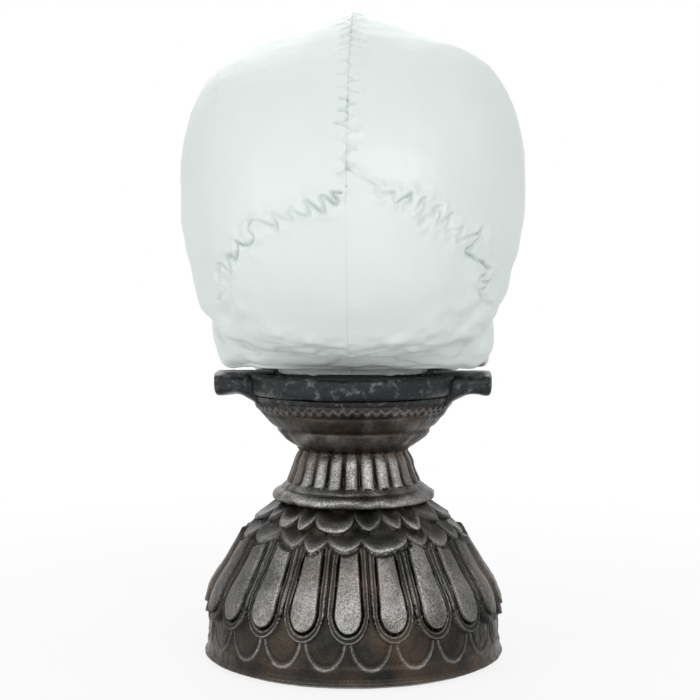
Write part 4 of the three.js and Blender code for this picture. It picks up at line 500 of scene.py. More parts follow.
def split_quads(points, quads, chosen):
    """Splits the chosen quads in four. A neighbour takes the new middle points into its outline."""
    pairs = np.sort(np.stack([quads, np.roll(quads, -1, axis=1)], axis=2).reshape(-1, 2), axis=1)
    edges, edge_of = np.unique(pairs, axis=0, return_inverse=True)
    edge_of = edge_of.reshape(-1, 4)
    cut = np.zeros(len(edges), bool)
    cut[edge_of[chosen]] = True
    middle_of = -np.ones(len(edges), np.int64)
    middle_of[cut] = len(points) + np.arange(cut.sum())
    middles = points[edges[cut]].mean(axis=1)
    centre_of = len(points) + len(middles) + np.arange(chosen.sum())
    centres = points[quads[chosen]].mean(axis=1)
    q, m = quads[chosen], middle_of[edge_of[chosen]]
    parts = [np.stack([q[:, k], m[:, k], centre_of, m[:, k - 1]], axis=1) for k in range(4)]
    kept = quads[~chosen]
    kept_middles = middle_of[edge_of[~chosen]]
    plain = (kept_middles < 0).all(axis=1)
    beside = zip(kept[~plain].tolist(), kept_middles[~plain].tolist())
    outlines = [[i for pair in zip(*rows) for i in pair if i >= 0] for rows in beside]
    fresh = np.concatenate([middles, centres])
    return np.concatenate([points, fresh]), np.concatenate([kept[plain], *parts]), outlines


def normals_of(points, faces):
    """Area-weighted normals at the points of quads."""
    a, b, c, d = (points[faces[:, k]] for k in range(4))
    n = np.cross(c - a, d - b)
    out = np.zeros_like(points)
    for k in range(4):
        np.add.at(out, faces[:, k], n)
    return out / np.maximum(np.linalg.norm(out, axis=1, keepdims=True), 1e-9)


def add_mesh(name, points, faces, outlines=(), body="base", values=None, sharp=50):
    """A smooth mesh object from points in millimetres. Named values go to its points."""
    mesh = bpy.data.meshes.new(name)
    place = (np.asarray(points, float) + [0, AXIS_Y, 0]) * MM
    mesh.from_pydata(place.tolist(), [], [list(map(int, f)) for f in faces] + list(outlines))
    mesh.validate()
    for key, array in (values or {}).items():
        mesh.attributes.new(key, "FLOAT", "POINT").data.foreach_set("value", np.asarray(array, np.float32))
    mesh.polygons.foreach_set("use_smooth", [True] * len(mesh.polygons))
    if sharp:
        mesh.set_sharp_from_angle(angle=math.radians(sharp))
    piece = bpy.data.objects.new(name, mesh)
    bpy.context.scene.collection.objects.link(piece)
    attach(piece, body)
    return piece


# Lines drawn on the back of the skull: across and height, in millimetres, seen square from behind
LEFT_SUTURE = [
    (2, 206.5), (6, 207), (3, 202), (10, 204.5), (9, 198), (16, 203), (15, 196.5), (22, 200), (22, 194),
    (29, 198.5), (28, 192), (37, 194), (40, 191), (38, 187), (42, 184), (45, 186), (45, 180), (48, 181),
    (49, 174), (53, 177), (53, 169), (50, 167), (54, 163),
]
RIGHT_SUTURE = [
    (-1, 216), (-6, 212), (-11, 209), (-13, 205), (-18, 207), (-19, 201), (-25, 205), (-24, 198),
    (-31, 203), (-29, 193), (-37, 201), (-35, 192), (-42, 198), (-39, 190), (-46, 193), (-44, 187),
    (-55, 191), (-49, 183), (-52, 179), (-56, 176), (-53, 171), (-57, 169), (-54, 164), (-58, 160),
]
CREASE = [
    (-40, 148.5), (-30, 145.5), (-20, 143.3), (-8, 141.6), (0, 141.3), (10, 142), (20, 144), (36, 147.6),
]
GAP_LINE = [(58.5, 150), (57.6, 146.5), (55.6, 142.8)]
ARC_RADIUS = 85
SQUIGGLE_HALF_WIDTH, SQUIGGLE_BEAT = 3.7, 0.74
CORONAL_TURN = 0.345


def squiggle():
    """The looping seam along the crown: across, and the arc from the rear, in millimetres."""
    run = np.arange(7, 200, 0.6)
    beat = run * SQUIGGLE_BEAT + 0.9 * np.sin(run * 0.13)
    size = SQUIGGLE_HALF_WIDTH + 0.9 * np.sin(run * 0.21 + 1) + 0.5 * np.sin(run * 0.57)
    return list(zip(size * np.sin(beat), run + 1.5 * np.sin(2 * beat)))


SQUIGGLE = squiggle()


def line_distance(u, v, line, wide=1, tall=1):
    """Distance of points u, v from a line of points, with both read as shares of wide and tall."""
    best = np.full(len(u), 1e9)
    for (ax, ay), (bx, by) in zip(line[:-1], line[1:]):
        du, dv = (bx - ax) * wide, (by - ay) * tall
        pu, pv = (u - ax) * wide, (v - ay) * tall
        t = np.clip((pu * du + pv * dv) / (du * du + dv * dv), 0, 1)
        best = np.minimum(best, np.hypot(pu - t * du, pv - t * dv))
    return best


def rounded(line, steps=4):
    """The line with its corners rounded by a smooth curve through its points."""
    p = np.array(line, float)
    ends = np.vstack([2 * p[0] - p[1], p, 2 * p[-1] - p[-2]])
    out = []
    for i in range(1, len(ends) - 2):
        a, b, c, d = ends[i - 1 : i + 3]
        for t in np.arange(steps) / steps:
            square, cube = 2 * a - 5 * b + 4 * c - d, 3 * b - a - 3 * c + d
            out.append(0.5 * (2 * b + (c - a) * t + square * t**2 + cube * t**3))
    return [tuple(q) for q in out] + [tuple(p[-1])]


def suture_depth(p, normal):
    """How much the skull's outside is pushed out at its seams, and how strongly painted shade darkens each
    groove.
    """
    x, y, z = p.T
    from_middle = np.abs(x)
    facing = np.clip(normal[:, 1], 0.25, 1)
    behind = ease(10, 30, y) * ease(0.05, 0.3, normal[:, 1])
    turn = np.arctan2((z - MIDDLE[2]) / HEIGHT, (y - MIDDLE[1]) / LENGTH) / math.tau
    arc = turn * math.tau * ARC_RADIUS
    over_top = ease(0.012, 0.022, turn) * ease(0.36, 0.34, turn)
    middle = np.full(len(p), 99.0)
    near = (from_middle < 10) & (over_top > 0)
    middle[near] = line_distance(x[near], arc[near], SQUIGGLE)
    rumple = lattice_noise(p, 4.2, 11)
    push, depth = np.zeros(len(p)), np.zeros(len(p))

    def groove(distance, width, deep, lift, spread, where, fade):
        """A line of a width and depth, with raised and rumpled banks that spread beside it, and painted shade
        in the line.
        """
        nonlocal push, depth
        line = line_at(distance, 0, width) * where * fade
        raised = line_at(distance, 0, spread) * where
        push = push - deep * line + raised * lift * (0.75 + 0.9 * rumple)
        # depth keeps the strongest painted groove shade at each point
        depth = np.maximum(depth, line)

    fade = np.clip(0.8 + 0.7 * lattice_noise(p, 7.5, 12), 0.3, 1.25)
    groove(middle, 0.85, 1.25, 0.6, 2.4, over_top, fade)
    u, v = x + 1.5 * rumple, z + 1.6 * lattice_noise(p, 4.6, 13)
    for line, deep, lift in ((LEFT_SUTURE, 2.0, 1.25), (RIGHT_SUTURE, 2.3, 1.5)):
        distance = line_distance(u, v, rounded(line)) * np.sqrt(facing)
        groove(distance, 0.75, deep, lift, 3.6, behind, fade)
    coronal = np.abs(turn - CORONAL_TURN - 0.02 * from_middle / HALF_WIDTH - 0.004 * np.sin(x * 0.9))
    on_top = ease(60, 50, from_middle) * ease(0, 0.2, normal[:, 2])
    groove(coronal * math.tau * ARC_RADIUS, 0.7, 0.5, 0.1, 2.5, on_top, fade)

    # The crease over the neck, the folds under it, the lumpy corners and the gap beside the jaw
    crease = line_distance(x, z, rounded(CREASE))
    central = ease(46, 30, from_middle)
    fade = np.clip(0.85 + 0.5 * lattice_noise(p, 14, 14), 0.3, 1.2)
    groove(crease, 1.7, 1.0, 0.9, 6.0, behind * central, fade)
    below = ease(150, 140, z) * behind * ease(0, 1, 142 + 0.004 * x * x - z)
    push = push - 0.9 * below
    wave = z + 0.12 * from_middle + 1.8 * np.sin(x * 0.13) + 1.2 * rumple
    folds = np.sin(wave * 1.05 + 0.03 * x)
    push = push + 0.4 * folds * central * below * (0.6 + 0.7 * lattice_noise(p, 9, 15))
    corner = ease(168, 152, z) * behind * ease(28, 44, from_middle)
    push = push + 0.9 * corner * lattice_noise(p, 7, 16)
    gap = line_distance(x, z, GAP_LINE)
    groove(gap, 0.6, 1.3, 0.0, 1.0, ease(0.0, 0.1, normal[:, 1]), 1.0)
    return push, depth


# One side's shell, which both halves start from
NET_POINTS, NET_QUADS, NET_ON_CUT = surface_net(
    skull_form, (0.0, -104.0, 127.0), (78.5, 88.5, 291.5), SKULL_STEP)
NET_POINTS = settle(NET_POINTS, skull_form, ~NET_ON_CUT, 1)
# The lumpy lower corners of the skull's back
CORNER_X, CORNER_Z, CORNER_WIDTH, CORNER_HEIGHT = 54, 152, 15, 18


def skull_half(side):
    """A half of the skull, 1 for the left and -1 for the right, finer behind and with its seams."""
    points, quads = NET_POINTS.copy(), NET_QUADS
    normal = normals_of(points, quads)
    middles = points[quads].mean(axis=1)
    chosen = (skull_outside(middles) > -WALL / 2) & (middles[:, 1] > -30)
    chosen = chosen & ~NET_ON_CUT[quads].all(axis=1) & (middles[:, 2] > FLOOR + 2)
    points, quads, outlines = split_quads(points, quads, chosen)
    fresh = np.arange(len(points)) >= len(normal)
    flat = np.abs(points[:, 0]) < 1e-6
    points = settle(points, skull_form, fresh & ~flat, 2)
    normal = normals_of(points, quads)
    outside = np.abs(skull_outside(points)) < 0.8
    points[:, 0] *= side
    normal[:, 0] *= side
    push, depth = suture_depth(points, normal)
    ripple = 0.22 * lattice_noise(points, 11, 1) + 0.1 * lattice_noise(points, 4.5, 2)
    across, up = (np.abs(points[:, 0]) - CORNER_X) / CORNER_WIDTH, (points[:, 2] - CORNER_Z) / CORNER_HEIGHT
    corner = np.exp(-(across**2 + up**2)) * ease(10, 25, points[:, 1])
    lumps = corner * (2.4 * lattice_noise(points, 10, 3) + 1.0 * lattice_noise(points, 5, 4))
    push = (push + ripple + lumps) * outside
    normal[flat, 0] = 0
    points = points + normal * push[:, None] * ease(FLOOR, FLOOR + 3, points[:, 2])[:, None]
    points[:, 0] = side * np.maximum(points[:, 0] * side, SEAM)
    if side < 0:
        quads = quads[:, ::-1]
        outlines = [outline[::-1] for outline in outlines]
    name = "skull_left" if side > 0 else "skull_right"
    # The line value is painted shade that darkens the grooves in the bone's colour
    piece = add_mesh(name, points, quads, outlines, "base", {"line": depth * outside})
    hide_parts(name + "_shell")
    return piece


# Teeth: rounded blocks with a cutting edge, each on its place along the arch
TOOTH_AROUND, TOOTH_SHARE, TOOTH_DEPTH, MOLAR_EXTRA, TOOTH_DRIFT = 20, 0.93, 6.4, 2.6, 0.25


def tooth_points(index):
    """A closed crown and root end, in rings from the gum to the edge, and its turn on the arch."""
    share = (index + 0.5) / (TOOTH_COUNT / 2)
    angle = share * ARCH_SPREAD
    step = ARCH_SPREAD / (TOOTH_COUNT / 2) * math.hypot(
        ARCH_HALF_WIDTH * math.cos(angle), ARCH_LENGTH * math.sin(angle))
    molar = ease(0.5, 0.75, np.array(share)).item()
    width, depth = step * TOOTH_SHARE, TOOTH_DEPTH + MOLAR_EXTRA * molar
    rows = [
        (0, 0.72, 0.9), (0.18, 0.8, 1.0), (0.4, 0.93, 1.02), (0.7, 1.0, 0.86 + 0.12 * molar),
        (0.88, 0.98, 0.62 + 0.3 * molar), (0.97, 0.9, 0.42 + 0.42 * molar), (1, 0.78, 0.25 + 0.45 * molar),
    ]
    turn = np.arange(TOOTH_AROUND) / TOOTH_AROUND * math.tau
    c, s = np.cos(turn), np.sin(turn)
    rings = []
    for up, wide, deep in rows:
        a = np.sign(c) * np.abs(c) ** 0.7 * width / 2 * wide
        b = np.sign(s) * np.abs(s) ** 0.7 * depth / 2 * deep
        rings.append(np.column_stack([a, b, np.full(TOOTH_AROUND, up)]))
    return np.array(rings), angle


def tooth_row(name, middle, gum, edge, body):
    """All the teeth of one arch as one piece."""
    points, faces = [], []
    for side in (1, -1):
        for index in range(TOOTH_COUNT // 2):
            rings, angle = tooth_points(index)
            slope = math.atan2(ARCH_LENGTH * math.sin(angle), ARCH_HALF_WIDTH * math.cos(angle))
            x0 = ARCH_HALF_WIDTH * math.sin(angle)
            y0 = middle - ARCH_LENGTH * math.cos(angle)
            drift = rng.uniform(-TOOTH_DRIFT, TOOTH_DRIFT, 3)
            c, s = math.cos(slope), math.sin(slope)
            a, b, up = rings[..., 0], rings[..., 1], rings[..., 2]
            x = side * (x0 + a * c - b * s)
            y = y0 + a * s + b * c + drift[1]
            z = gum + up * (edge - gum + 0.4 * drift[2])
            start = sum(len(p) for p in points)
            points.append(np.column_stack([x.ravel(), y.ravel(), z.ravel()]))
            inward = (side > 0) == (edge > gum)
            index = start + np.arange(up.size).reshape(up.shape)
            after = np.roll(index, -1, axis=1)
            quads = np.stack([index[:-1], after[:-1], after[1:], index[1:]], axis=-1).reshape(-1, 4)
            shell = quads.tolist() + [index[0, ::-1].tolist(), index[-1].tolist()]
            faces += [face if inward else face[::-1] for face in shell]
    return add_mesh(name, np.concatenate(points), [], faces, body, sharp=60)


# Lower jaw: rows from the angle round to the chin, of the lower border's half width, reach and drop,
# and of the gum's half width and reach, as shares of the jaw's own. Then the outline of its branch,
# as shares of the jaw's reach and drop from the axle
JAW_STATIONS = [
    (1, 0.09, 0.63, 0.97, 0.15), (0.93, 0.3, 0.648, 0.83, 0.354), (0.78, 0.5, 0.76, 0.625, 0.565),
    (0.6, 0.69, 0.875, 0.525, 0.72), (0.42, 0.85, 0.96, 0.4, 0.87), (0.27, 0.965, 1, 0.21, 0.965),
    (0, 1.02, 0.985, 0, 1),
]
BRANCH = [
    (-0.02, 0.35), (-0.035, 0.54), (0.01, 0.63), (0.1, 0.65), (0.28, 0.62), (0.385, 0.44), (0.345, 0.26),
    (0.36, 0.06), (0.335, -0.045), (0.285, 0), (0.22, 0.1), (0.13, 0.11), (0.065, 0.02), (0.045, -0.05),
    (-0.04, -0.05), (-0.055, 0.08),
]


JAW_BORE, HEAD_RADIUS, SMOOTH_RADIUS, BRANCH_ROUND = 2.3, 5.9, 8, 2.2
BRANCH_X = JAW_HALF_WIDTH - RAMUS_THICKNESS / 2
CHIN = (0, -88, 112), (15, 5.5, 8)
CHIN_CORNER = (13, -86, 108.5), (6, 4.5, 5)
CHIN_HOLE = (24.5, -88, 124), (21, -74, 125), 1.5


def branch_form(p):
    """The jaw's upright branch: a slab of the outline with rounded edges and dished sides."""
    u = (HINGE_Y - p[:, 1]) / JAW_REACH
    v = (HINGE_Z - p[:, 2]) / JAW_DROP
    closed = BRANCH + BRANCH[:1]
    inside = np.zeros(len(p), bool)
    for (ax, ay), (bx, by) in zip(closed[:-1], closed[1:]):
        crosses = (ay > v) != (by > v)
        inside ^= crosses & (u < (bx - ax) * (v - ay) / (by - ay + 1e-12) + ax)
    away = line_distance(u, v, closed, JAW_REACH, JAW_DROP)
    side = np.where(inside, -away, away) + BRANCH_ROUND
    thick = RAMUS_THICKNESS / 2 - 0.9 * np.exp(-(((u - 0.2) / 0.1) ** 2 + ((v - 0.3) / 0.17) ** 2))
    slab = np.abs(p[:, 0] - BRANCH_X) - thick + BRANCH_ROUND
    outer = np.hypot(np.maximum(side, 0), np.maximum(slab, 0))
    return np.minimum(np.maximum(side, slab), 0) + outer - BRANCH_ROUND


def jaw_form(point):
    """The lower jaw: its body from bars side by side, with the branches, their heads and the chin."""
    p = folded(point)
    rows = np.array(JAW_STATIONS)
    rows = np.vstack([rows, rows[-2] * [-1, 1, 1, -1, 1]])
    x0, y0, z0, x1, y1 = tracks(rows, np.linspace(0, len(rows) - 1.6, 52))
    low = np.stack([x0 * JAW_HALF_WIDTH, HINGE_Y - y0 * JAW_REACH, HINGE_Z - z0 * JAW_DROP], 1)
    high = np.stack([x1 * JAW_HALF_WIDTH, HINGE_Y - y1 * JAW_REACH, np.full(len(x1), LOWER_GUM)], 1)
    inward = np.array([0, -25.0, 0]) - low
    inward[:, 2] = 0
    inward /= np.linalg.norm(inward, axis=1, keepdims=True)
    radius = JAW_THICKNESS / 2
    shift = inward * radius
    up = (high - low) / np.linalg.norm(high - low, axis=1, keepdims=True)
    form = np.full(len(p), 1e9)
    for a, b, s, w in zip(low, high, shift, up):
        form = np.minimum(form, bar(p, a + s + w * radius, b + s - w * (radius - 1), radius, radius - 0.7))
    form = merge(form, branch_form(p), 6)
    head = np.maximum(from_hinge(p) - HEAD_RADIUS, np.abs(p[:, 0] - BRANCH_X) - RAMUS_THICKNESS / 2)
    form = merge(form, head, 3)
    form = merge(form, ball(p, *CHIN), 7)
    form = merge(form, ball(p, *CHIN_CORNER), 5)
    form = carve(form, bar(p, *CHIN_HOLE), 1.2)
    return np.maximum(form, JAW_BORE - from_hinge(p))


def mandible():
    """The whole lower jaw, from one side and its mirror image sewn together at the middle."""
    points, quads, on_cut = surface_net(jaw_form, (0.0, -97.0, 101.0), (63.0, 8.5, 189.0), JAW_STEP)
    points = settle(points, jaw_form, ~on_cut, 2)
    quads = quads[~on_cut[quads].all(axis=1)]
    count = len(points)
    both = np.concatenate([points, points * [-1, 1, 1]])
    shared = np.arange(len(both))
    shared[count:][on_cut] = np.flatnonzero(on_cut)
    faces = shared[np.concatenate([quads, quads[:, ::-1] + count])]
    used = np.unique(faces)
    renumber = -np.ones(len(both), np.int64)
    renumber[used] = np.arange(len(used))
    both, faces = both[used], renumber[faces]
    normal = normals_of(both, faces)
    push = 0.18 * lattice_noise(both, 9, 5) + 0.1 * lattice_noise(both, 4, 6)
    push = np.where(from_hinge(both) < SMOOTH_RADIUS, 0, push)
    both = both + normal * push[:, None]
    piece = add_mesh("lower_jaw", both, faces, [], "jaw", {"line": np.zeros(len(both))})
    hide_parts("mandible")
    return piece


# Pedestal outline: rows of height as a share of the pedestal's, and how far it flares from the waist
FLARE_ROWS = [
    (0, 0.975), (0.02, 1), (0.132, 0.995), (0.2, 0.951), (0.27, 0.88), (0.34, 0.74), (0.41, 0.61),
    (0.481, 0.48), (0.516, 0.35), (0.551, 0.252), (0.586, 0.201), (0.621, 0.09), (0.691, 0.034), (0.726, 0),
]
BOWL_ROWS = [
    (0.726, 0), (0.761, 0.202), (0.796, 0.395), (0.831, 0.596), (0.866, 0.735), (0.901, 0.87), (1, 0.97),
]
WAIST = 0.726


def turned(r, theta, z):
    """Points at a radius, a turn about the axis and a height."""
    return np.column_stack([r * np.cos(theta), r * np.sin(theta), z])


def pedestal_radius(z):
    """The outline's radius at a height, without ornament."""
    place = z / PEDESTAL_HEIGHT
    flare = WAIST_RADIUS + smooth_table(FLARE_ROWS, place) * (FOOT_RADIUS - WAIST_RADIUS)
    bowl = WAIST_RADIUS + smooth_table(BOWL_ROWS, place) * (RIM_RADIUS - WAIST_RADIUS)
    return np.where(place < WAIST, flare, bowl)


def copies(theta, count, shift=0.0):
    """Place within each of the copies round the axis, from -1 to 1, with one copy square at the
    rear, and the number of the copy."""
    turn = (theta - math.pi / 2) / math.tau * count + shift
    return 2 * (turn - np.round(turn)), np.round(turn) % count


# Bands of ornament. Leaves, scales and flutes give their relief in millimetres, and how far the rubbed silver
# and painted highlights show on it, from 0 to 1
LEAF_TALL, LEAF_RISE, BACK_LEAF_RISE, BACK_LEAF_SUNK = 13.5, 1.6, 0.9, 1.7


def leaf_edge(a, z, width, tip):
    """How far inside a tongue leaf's outline a point lies."""
    full = np.hypot(a / width, np.clip((tip + LEAF_TALL - z) / LEAF_TALL, 0, 1.6))
    rounded_end = (1 - full) * np.minimum(width, LEAF_TALL) * 1.05
    return np.where(z < tip + LEAF_TALL, rounded_end, width - a)


def leaves(theta, z):
    """Front row of tongue leaves with a double border, and the tips of a back row between them."""
    half = math.pi * pedestal_radius(z) / LEAF_COUNT
    a = np.abs(copies(theta, LEAF_COUNT)[0]) * half
    width = half * 0.95
    edge = leaf_edge(a, z, width, LEAF_TIP)
    panel = ease(3.1, 4.0, edge)
    front = LEAF_RISE * ease(-0.1, 0.6, edge) - 0.5 * line_at(edge, 1.5, 0.45)
    front -= 1.7 * line_at(edge, 2.9, 0.42)
    front += panel * (0.1 + 1.2 * (1 - (a / width) ** 2))
    back_edge = leaf_edge(half - a, z, width, BACK_LEAF_TIP)
    back = BACK_LEAF_RISE * ease(-0.1, 0.6, back_edge) - 0.6 * line_at(back_edge, 1.9, 0.5) - BACK_LEAF_SUNK
    blend = ease(-0.15, 0.35, edge)
    # Silver lines on the double border, and a painted highlight along the panel's rim at 3.9
    lines = 0.75 * line_at(edge, 0.55, 0.3) + 0.5 * line_at(edge, 2.2, 0.25) + 0.35 * line_at(edge, 3.9, 0.35)
    # Painted shade: the silver fades towards the leaves' tops
    fade = 0.6 + 0.4 * ease(LEAF_TOP, 34, z)
    back_rub = 0.04 + 0.6 * line_at(back_edge, 0.7, 0.4)
    rub_and_highlight = blend * (lines + 0.75 * panel) * fade + (1 - blend) * back_rub
    return laid(back, front, blend), rub_and_highlight


def foot_band(z):
    """The round foot under the leaf tips."""
    return 0.9 * ease(0.4, 2.2, z) * ease(10.5, 8.6, z) - 2.2 * ease(2.4, 0.4, z)


def scales(theta, z):
    """Overlapping rows of big drooping scales, hollow above their thick lower lips. The third
    value is where they cover what is under them."""
    relief, rub_and_highlight, cover = np.full(len(z), -1.9), np.zeros(len(z)), np.zeros(len(z))
    tops = SCALE_LIPS[1:] + (SCALE_TOP,)
    for row, (low, high) in enumerate(zip(SCALE_LIPS, tops)):
        shift = 0.5 * (row % 2) + 0.2 * np.sin(theta * 5 + 2.1 * row) + 0.1 * np.sin(theta * 11 + row)
        u, number = copies(theta, SCALE_COUNT, shift)
        odd = np.sin(number * 2.4 + row)
        lip = low + 4.0 * np.abs(u) ** 1.8 - 0.8 - 0.9 * odd
        t = (z - lip) / (high + 1.8 - low)
        dome = np.sqrt(np.clip(1 - u * u, 0, 1))
        ridge = line_at(t, 0.2, 0.2) * (0.45 + 0.55 * dome)
        hollow = line_at(t, 0.72, 0.24) * dome
        scale = -2.1 + (2.5 + 0.4 * odd) * ridge + 0.7 * dome - 1.3 * hollow
        over = ease(-0.05, 0.05, t)
        relief = laid(relief, scale, over)
        # Silver on each scale's ridge: rubbed silver with a painted highlight
        rub_and_highlight = laid(rub_and_highlight, 1.1 * ridge * dome * (0.75 + 0.35 * odd) + 0.03, over)
        cover = np.maximum(cover, over)
    return relief, rub_and_highlight, cover


def flutes(theta, z):
    """Round-backed ribs that flare down to the ring, with dark gaps between them, sunk at the top."""
    u = np.abs(copies(theta, FLUTE_COUNT)[0])
    reach = np.sqrt(np.clip(1 - np.clip(1 - (FLUTE_TOP - z) / 3.0, 0, 1) ** 2, 0, 1))
    rib = np.clip(1 - (u / (0.88 * np.maximum(reach, 0.05))) ** 2.4, 0, 1) ** 0.5
    rib = rib * (z < FLUTE_TOP)
    crest = 0.9 * ease(FLUTE_TOP - 7, RING_TOP, z) - 1.2 * ease(FLUTE_TOP - 6, FLUTE_TOP, z)
    edge = 0.35 * line_at(u, 0.92, 0.06)
    # The second value is rubbed silver, with a painted highlight along each rib's crest
    return -1.7 + edge + (2.0 + crest) * rib, 1.15 * rib**3 * ease(FLUTE_TOP, FLUTE_TOP - 5, z) + 0.3 * edge


def ring(z, low, high, height):
    """The height of a half round that runs from low to high."""
    t = np.clip((z - low) / (high - low), 0, 1)
    return height * np.sqrt(np.clip(1 - (2 * t - 1) ** 2, 0, 1)) * ((z > low) & (z < high))


# The rise of the thick ring, and the radius at which the noise of the lumps is read
RING_RISE, LUMPS_RADIUS = 2.8, 40


def pedestal_relief(theta, z):
    """Ornament on the pedestal's outline by bands from the foot to the rim, and its rubbed silver with
    painted highlights, weaker on the flanks as painted shade.
    """
    lumps = lattice_noise(turned(LUMPS_RADIUS, theta, z), 6, 21)
    relief, rub_and_highlight = foot_band(z) * (1 - ease(9, 11, z)), np.full(len(z), 0.12)
    leaf, leaf_rub_and_highlight = leaves(theta, z)
    leafy = ease(3.0, 4.6, z)
    relief = laid(relief, np.maximum(relief - 1.4, leaf), leafy)
    rub_and_highlight = laid(rub_and_highlight, leaf_rub_and_highlight, leafy)
    scale, scale_rub_and_highlight, cover = scales(theta, z)
    scaled = (z > LEAF_TOP - 3.5) & (cover > 0.02)
    relief = np.where(scaled, laid(relief, scale, cover), relief)
    rub_and_highlight = np.where(scaled, scale_rub_and_highlight, rub_and_highlight)
    above = z > RING_LOW
    swell = np.maximum(ring(z, RING_LOW, RING_MIDDLE, RING_RISE), ring(z, RING_MIDDLE - 0.4, RING_TOP, 1.9))
    round_top = swell - 1.3 + 1.2 * lumps * swell / RING_RISE
    relief = np.where(above, np.maximum(round_top, np.where(z < SCALE_TOP, scale, -9)), relief)
    # Rubbed silver with a painted highlight along the ring's crest
    rub_and_highlight = np.where(above, np.clip(swell / RING_RISE - 0.25, 0, 1) * (1.35 + 0.9 * lumps), rub_and_highlight)
    rib, rib_rub_and_highlight = flutes(theta, z)
    ribbed = z > RING_TOP - 1.2
    relief = np.where(ribbed, np.maximum(rib, np.where(z < RING_TOP, relief, -9)), relief)
    rub_and_highlight = np.where(ribbed, np.maximum(rib_rub_and_highlight, np.where(z < RING_TOP, rub_and_highlight, 0)), rub_and_highlight)
    bowl = z > FLUTE_TOP
    relief = np.where(bowl, -1.1 * ease(COLLAR_LOW, FLUTE_TOP, z), relief)
    rub_and_highlight = np.where(bowl, 0.05 + 0.25 * np.clip(lumps, 0, 1), rub_and_highlight)
    ledge = ring(z, COLLAR_LOW, COLLAR_TOP, 0.8) * (1 + 0.3 * lumps)
    relief += ledge - ring(z, COLLAR_TOP - 0.3, COLLAR_TOP + 1.6, 0.45) + 0.75 * lumps * bowl
    rub_and_highlight += 0.25 * ledge
    bead = copies(theta, BEAD_COUNT)[0]
    middle = (ROPE_LOW + ROPE_TOP) / 2 + 0.8 * np.sin(bead * math.pi)
    strand = np.clip(1 - ((z - middle) / 1.15) ** 2, 0, 1) ** 0.5
    relief += 0.75 * strand * (z > ROPE_LOW - 1) - ring(z, ROPE_LOW - 1.4, ROPE_LOW, 0.6)
    relief -= ring(z, ROPE_TOP, ROPE_TOP + 1.4, 0.6)
    rub_and_highlight += 0.3 * strand
    # Painted shade: the silver is weaker on the flanks, which face the sides rather than the front and rear
    return relief, np.clip(rub_and_highlight * (0.3 + 0.7 * ease(0.45, 0.9, np.abs(np.sin(theta)))), 0, 1.2)


def cast_skin(p, amount=1.0):
    """The unevenness of the casting."""
    layers = ((0.2, 5, 7), (0.14, 2.2, 8), (0.1, 1.1, 9))
    return amount * sum(height * lattice_noise(p, size, seed) for height, size, seed in layers)


COLUMNS = 400
ROW_STEP = 0.52
RIM_ROUND, RIM_UNDER_ROUND = 2.2, 3.4
DISH_HOLE_RADIUS = 9.0
PLAIN_RUB = 0.1
# Heights as shares of the pedestal's, and how many walls the inside lies within the outline there
INNER_ROWS = [(0.87, 1.3), (0.745, 1), (0.71, 1), (0.58, 1.3), (0.47, 1.8), (0.36, 1.8), (0.27, 1.7)]


def quarter(steps, first=0):
    """Turns through a right angle in equal steps."""
    return [k / steps * math.pi / 2 for k in range(first, steps + 1)]


def rim_and_dish():
    """Radii and heights from under the rim over its edge and down into the dish."""
    top, floor = PEDESTAL_HEIGHT, PEDESTAL_HEIGHT - DISH_DEPTH
    low, under, edge = top - RIM_HEIGHT, RIM_UNDER_ROUND, RIM_ROUND
    rows = [(RIM_RADIUS - under * (1 - math.sin(a)), low + under * (1 - math.cos(a))) for a in quarter(8)]
    rows += [(RIM_RADIUS, z) for z in np.linspace(low + under + 0.6, top - edge - 0.6, 7)]
    rows += [(RIM_RADIUS - edge + edge * math.cos(a), top - edge + edge * math.sin(a)) for a in quarter(8)]
    rows += [(r, top) for r in np.linspace(RIM_RADIUS - edge - 0.6, DISH_RADIUS + 1.0, 4)]
    rows += [(DISH_RADIUS + 1.0 - math.sin(a), top - 1.0 + math.cos(a)) for a in quarter(5, 1)]
    rows += [(DISH_RADIUS - 0.2, floor + 1.6), (DISH_RADIUS - 0.6, floor + 0.5), (DISH_RADIUS - 1.8, floor)]
    return rows + [(r, floor) for r in np.linspace(DISH_RADIUS - 6, DISH_HOLE_RADIUS, 8)]


def inner_rows():
    """Radii and heights down the inside, from the hole in the dish to the foot."""
    rows = [(DISH_HOLE_RADIUS, PEDESTAL_HEIGHT - DISH_DEPTH - PEDESTAL_WALL)]
    for share, walls in INNER_ROWS:
        z = share * PEDESTAL_HEIGHT
        rows.append((float(pedestal_radius(np.array(z))) - walls * PEDESTAL_WALL, z))
    return rows + [(CAVITY_RADIUS, 0.19 * PEDESTAL_HEIGHT), (CAVITY_RADIUS, FOOT_LIFT)]


